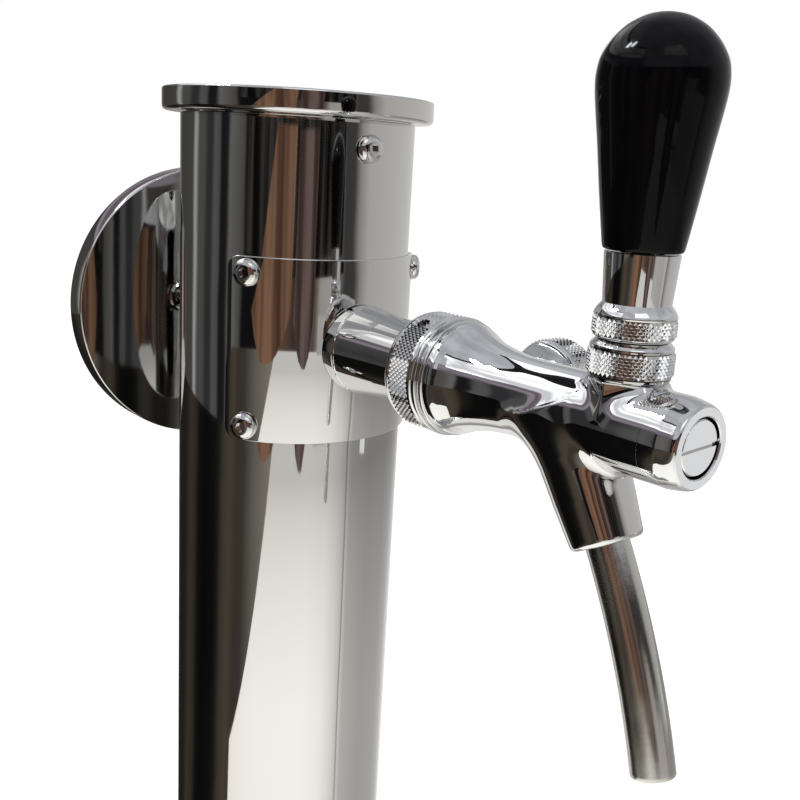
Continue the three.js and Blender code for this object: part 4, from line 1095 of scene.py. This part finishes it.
def heading_glow(name, stops, waver, far_share=1.0):
    """Colours by heading round the tower. Borders waver by some metres, and far places may be dimmer."""
    material, nodes, colour = glow_shader(name)
    coordinates = nodes.new("ShaderNodeTexCoord").outputs["Object"]
    ripple = noise_node(nodes, 2.2, (1, 1, 1.6), detail=2.0).outputs["Color"]
    centred = maths(nodes, "ShaderNodeVectorMath", "SUBTRACT", ripple, (0.5, 0.5, 0.5)).outputs["Vector"]
    room = (waver, waver, waver)
    moved = maths(nodes, "ShaderNodeVectorMath", "MULTIPLY_ADD", centred, room, coordinates)
    moved = moved.outputs["Vector"]
    facing = nodes.new("ShaderNodeMapping")
    facing.inputs["Rotation"].default_value = (0, 0, math.radians(-CAMERA_HEADING))
    link(moved, facing.inputs["Vector"])
    turn = nodes.new("ShaderNodeTexGradient")
    turn.gradient_type = "RADIAL"
    link(facing.outputs["Vector"], turn.inputs["Vector"])
    ramp = nodes.new("ShaderNodeValToRGB")
    elements = ramp.color_ramp.elements
    for index, (heading, *shade) in enumerate(stops):
        place = heading / 360 + 0.5
        element = elements[index] if index < 2 else elements.new(place)
        element.position = place
        element.color = (*shade, 1)
    link(turn.outputs["Fac"], ramp.inputs["Fac"])
    distance = maths(nodes, "ShaderNodeVectorMath", "LENGTH", moved).outputs["Value"]
    share = spread(nodes, distance, 1, far_share, NEAR_BY, FAR_OFF)
    dimmed = maths(nodes, "ShaderNodeVectorMath", "MULTIPLY", ramp.outputs["Color"], share)
    link(dimmed.outputs["Vector"], colour)
    return material


# %% [markdown]
# The cards themselves are thin shells swept round the tower between two headings. Hiding
# them from every ray but the glossy ones makes them invisible in the picture and keeps
# their light off the floor.

# %% Cards that only reflections see
CARD_STEP = 3
HEM_BEND = 2.2


def mirror_card(name, shape, material):
    card = as_object(shape, name)
    card.data.materials.append(material)
    card.visible_camera = False
    card.visible_diffuse = False
    card.visible_transmission = False
    card.visible_volume_scatter = False
    card.visible_shadow = False
    print(name, "card,", len(card.data.polygons), "faces")


def swept(line, start, end):
    """Spins a line of (distance, height) round the tower from one heading to another."""
    shape = bmesh.new()
    verts = [shape.verts.new((distance, 0, height)) for distance, height in line]
    edges = [shape.edges.new(pair) for pair in zip(verts, verts[1:])]
    shape.transform(rotation(CAMERA_HEADING + start, "Z"))
    bmesh.ops.spin(shape, geom=verts + edges, cent=(0, 0, 0), axis=(0, 0, 1),
                   angle=math.radians(end - start), steps=max(2, round((end - start) / CARD_STEP)),
                   use_merge=False, use_duplicate=False)
    return shape


def drape(distance, lower, upper, tip, tip_height, shoulder_height, top):
    """A hanging cloth between two headings below and two above, whose lower end narrows to a tip."""
    left, right = lower
    shape = swept([(distance, 0), (distance, 1)], left, right)
    for vert in shape.verts:
        heading = (math.degrees(math.atan2(vert.co.y, vert.co.x)) - CAMERA_HEADING + 180) % 360 - 180
        if vert.co.z > 0.5:
            heading = upper[0] + (heading - left) / (right - left) * (upper[1] - upper[0])
            height = top
        else:
            side = (heading - tip) / ((right if heading > tip else left) - tip)
            height = tip_height + (shoulder_height - tip_height) * abs(side) ** HEM_BEND
        turn = math.radians(heading + CAMERA_HEADING)
        vert.co = Vector((distance * math.cos(turn), distance * math.sin(turn), height))
    return shape


# %% [markdown]
# The column mirrors all that stands round it in one narrow picture. Each stripe in that
# picture stands for one heading, which follows from the camera's place, so walls and table
# are striped by heading. A stop is a heading from the camera's side and a colour.

# %% Walls and table
wall_stops = [
    (-180, 0.30, 0.29, 0.28), (-162, 0.17, 0.165, 0.155), (-150, 0.045, 0.042, 0.032),
    (-119, 0.055, 0.053, 0.05), (-114, 0.34, 0.335, 0.32), (-109, 0.07, 0.068, 0.066),
    (-100, 0.065, 0.065, 0.066), (-95, 0.028, 0.028, 0.03), (-89, 0.028, 0.028, 0.03),
    (-85, 0.085, 0.085, 0.083), (-80, 0.07, 0.07, 0.069), (-77, 0.008, 0.008, 0.010),
    (-70, 0.012, 0.012, 0.013), (-66, 0.12, 0.117, 0.11), (-59, 0.09, 0.088, 0.084),
    (-52, 0.065, 0.063, 0.058), (-49, 0.006, 0.006, 0.007), (-24, 0.004, 0.004, 0.005),
    (-17, 0.06, 0.035, 0.026), (-12, 0.12, 0.07, 0.048), (-3, 0.07, 0.042, 0.032),
    (2, 0.035, 0.023, 0.02), (10, 0.09, 0.058, 0.045), (20, 0.10, 0.078, 0.068),
    (24, 0.30, 0.28, 0.26), (37, 0.36, 0.345, 0.32), (41, 0.15, 0.145, 0.135),
    (48, 0.04, 0.038, 0.038), (57, 0.045, 0.043, 0.042), (64, 0.25, 0.24, 0.23),
    (74, 0.40, 0.39, 0.38), (160, 0.55, 0.545, 0.53),
]
floor_stops = [
    (-180, 0.6, 0.59, 0.57), (-70, 0.85, 0.83, 0.77), (-30, 1.0, 0.985, 0.93),
    (20, 1.03, 1.01, 0.955), (40, 0.96, 0.94, 0.89), (52, 0.78, 0.76, 0.72),
    (59, 0.62, 0.60, 0.57), (60.5, 0.28, 0.27, 0.26), (62, 0.66, 0.65, 0.63),
    (65, 0.49, 0.475, 0.45), (78, 0.43, 0.415, 0.40), (90, 0.39, 0.38, 0.365),
    (118, 0.39, 0.385, 0.375), (135, 0.48, 0.47, 0.46), (155, 0.75, 0.74, 0.73),
]
dark_stops = [
    (-180, 0.22, 0.21, 0.2), (-160, 0.05, 0.047, 0.043), (-148, 0.014, 0.012, 0.010),
    (-130, 0.014, 0.012, 0.010), (-118, 0.04, 0.03, 0.024), (-109, 0.03, 0.024, 0.019),
    (-102, 0.006, 0.006, 0.005), (-94, 0.003, 0.003, 0.003), (-80, 0.004, 0.004, 0.004),
    (-74, 0.012, 0.010, 0.008), (-68, 0.045, 0.037, 0.027), (-60, 0.065, 0.051, 0.037),
    (-52, 0.040, 0.033, 0.026), (-45, 0.042, 0.036, 0.031), (-34, 0.12, 0.11, 0.09),
    (-18, 0.20, 0.18, 0.15), (0, 0.24, 0.22, 0.19),
]
WALL_DISTANCE = 1.6
wall_shape = swept([(WALL_DISTANCE, -0.05), (WALL_DISTANCE, 0.85)], -180, 180)
mirror_card("walls", wall_shape, heading_glow("wall_glow", wall_stops, 0.12))
table_shape = swept([(0.05, 0.001), (WALL_DISTANCE, 0.001)], -180, 180)
mirror_card("table_top", table_shape, heading_glow("table_glow", floor_stops, 0.02, 0.56))

TABLE_EDGE = 0.18
TABLE_SLANT = 0.17
BEYOND_HALF_WIDTH = 1.7
BEYOND_HALF_DEPTH = 0.8
beyond_table = bmesh.new()
bmesh.ops.create_grid(beyond_table, x_segments=1, y_segments=1, size=1)
for vert in beyond_table.verts:
    along = BEYOND_HALF_WIDTH * vert.co.x
    across = -TABLE_EDGE - TABLE_SLANT * along - BEYOND_HALF_DEPTH * (1 - vert.co.y)
    vert.co = Vector((along, across, 0.002))
beyond_table.transform(rotation(CAMERA_HEADING, "Z"))
mirror_card("beyond_table", beyond_table, heading_glow("dark_glow", dark_stops, 0.05))

dark_corner = swept([(0.076, 0.0015), (WALL_DISTANCE - 0.002, 0.0015)], -178, -54)
mirror_card("dark_corner", dark_corner, heading_glow("corner_glow", dark_stops, 0.02))

# %% [markdown]
# Smaller cards shape single marks on the fittings: two dark cloths, a pale panel, a dark
# lintel, and a small card that only the slotted plug in the nose looks at. Each one is a
# shape, two colours, and the stretch and scale of the noise that mixes them.

# %% Cloths, panel, lintel and the nose's card
NOSE_GLANCE = Vector((0.817, -0.517, -0.256))
NOSE_PLACE = Vector((0, -0.172, 0.3))
NOSE_CARD_DISTANCE = 0.5
plug_card = bmesh.new()
bmesh.ops.create_grid(plug_card, x_segments=1, y_segments=1, size=0.032)
plug_card.transform(NOSE_GLANCE.to_track_quat("Z", "Y").to_matrix().to_4x4())
plug_card.transform(Matrix.Translation(NOSE_PLACE + NOSE_CARD_DISTANCE * NOSE_GLANCE))

EVEN = (1, 1, 1)
HANGING = (1, 1, 0.08)
single_cards = [
    ("left_drape", drape(0.9, (-39, -3), (-19, -1), -26, 0.08, 0.27, 0.62),
     (0.06, 0.03, 0.02), (0.20, 0.11, 0.068), HANGING, 7),
    ("right_drape", drape(0.92, (0, 18), (2, 20), 11, 0.06, 0.24, 0.62),
     (0.04, 0.025, 0.022), (0.13, 0.09, 0.08), HANGING, 9),
    ("pale_panel", swept([(1.5, -0.04), (1.5, 0.235)], 23, 59),
     (0.33, 0.32, 0.30), (0.40, 0.39, 0.37), EVEN, 2),
    ("plug_card", plug_card, (0.64, 0.64, 0.645), (0.72, 0.72, 0.725), EVEN, 2),
    ("dark_lintel", swept([(1.52, 0.455), (1.52, 0.84)], -48, 46),
     (0.003, 0.003, 0.003), (0.035, 0.032, 0.03), HANGING, 8),
]
for name, shape, *look in single_cards:
    mirror_card(name, shape, streaked_glow(name + "_glow", *look))

# %% [markdown]
# The upper room is a dome of cards. Its pale wall is what the tops of the fittings mirror,
# the window gives the long soft highlights, and two small bright lamps give the glints. A
# nearer card covers one behind it.

# %% Dome, window and lamps that mirrors see
DOME_CENTRE = 0.3
DOME_STEPS = 10
LAMP_COLOURS = ((30, 31, 34), (36, 37, 40))
upper_cards = [
    ("upper_room", 2.6, (18, 89), (-180, 180), (0.34, 0.345, 0.37), (0.48, 0.485, 0.51), EVEN, 0.8),
    ("window_sill", 2.3, (12, 31), (-178, -50), (0.12, 0.10, 0.12), (0.24, 0.21, 0.24), (0.6, 0.6, 4), 1.2),
    ("window", 2.2, (29, 50), (-178, -56), (0.62, 0.62, 0.64), (1.3, 1.3, 1.3), (0.6, 0.6, 3), 1.6),
    ("window_top", 2.15, (50, 53), (-178, -56), (0.01, 0.01, 0.011), (0.03, 0.03, 0.032), EVEN, 2),
    ("front_light", 2.1, (36, 58), (-16, 26), (0.8, 0.8, 0.8), (1.2, 1.2, 1.2), EVEN, 2),
    ("lamp_left", 2.0, (46, 54), (-112, -104), *LAMP_COLOURS, EVEN, 2),
    ("lamp_right", 2.0, (50, 58), (-101, -93), *LAMP_COLOURS, EVEN, 2),
]
for name, distance, heights, headings, *look in upper_cards:
    shape = swept(arc(0, DOME_CENTRE, distance, *heights, DOME_STEPS), *headings)
    mirror_card(name, shape, streaked_glow(name + "_glow", *look))

# %% [markdown]
# Two soft lamps give the grip, the gasket and the floor their shading. The metal hardly
# needs them, and its highlights come from the cards, so the lamps hide from reflections.

# %% Lamps
def soft_lamp(name, place, aim, size, power):
    data = bpy.data.lights.new(name, "AREA")
    data.shape = "DISK"
    data.size = size
    data.energy = power
    lamp = bpy.data.objects.new(name, data)
    bpy.context.scene.collection.objects.link(lamp)
    lamp.location = place
    lamp.rotation_euler = (Vector(aim) - Vector(place)).to_track_quat("-Z", "Y").to_euler()
    lamp.visible_glossy = False
    print(name, power, "W")


LAMP_AIM = (0, -0.1, 0.3)
soft_lamp("key_lamp", (-1.2, -0.6, 1.6), LAMP_AIM, 1.2, 9)
soft_lamp("fill_lamp", (1.1, -1.4, 1.2), LAMP_AIM, 1.4, 5)
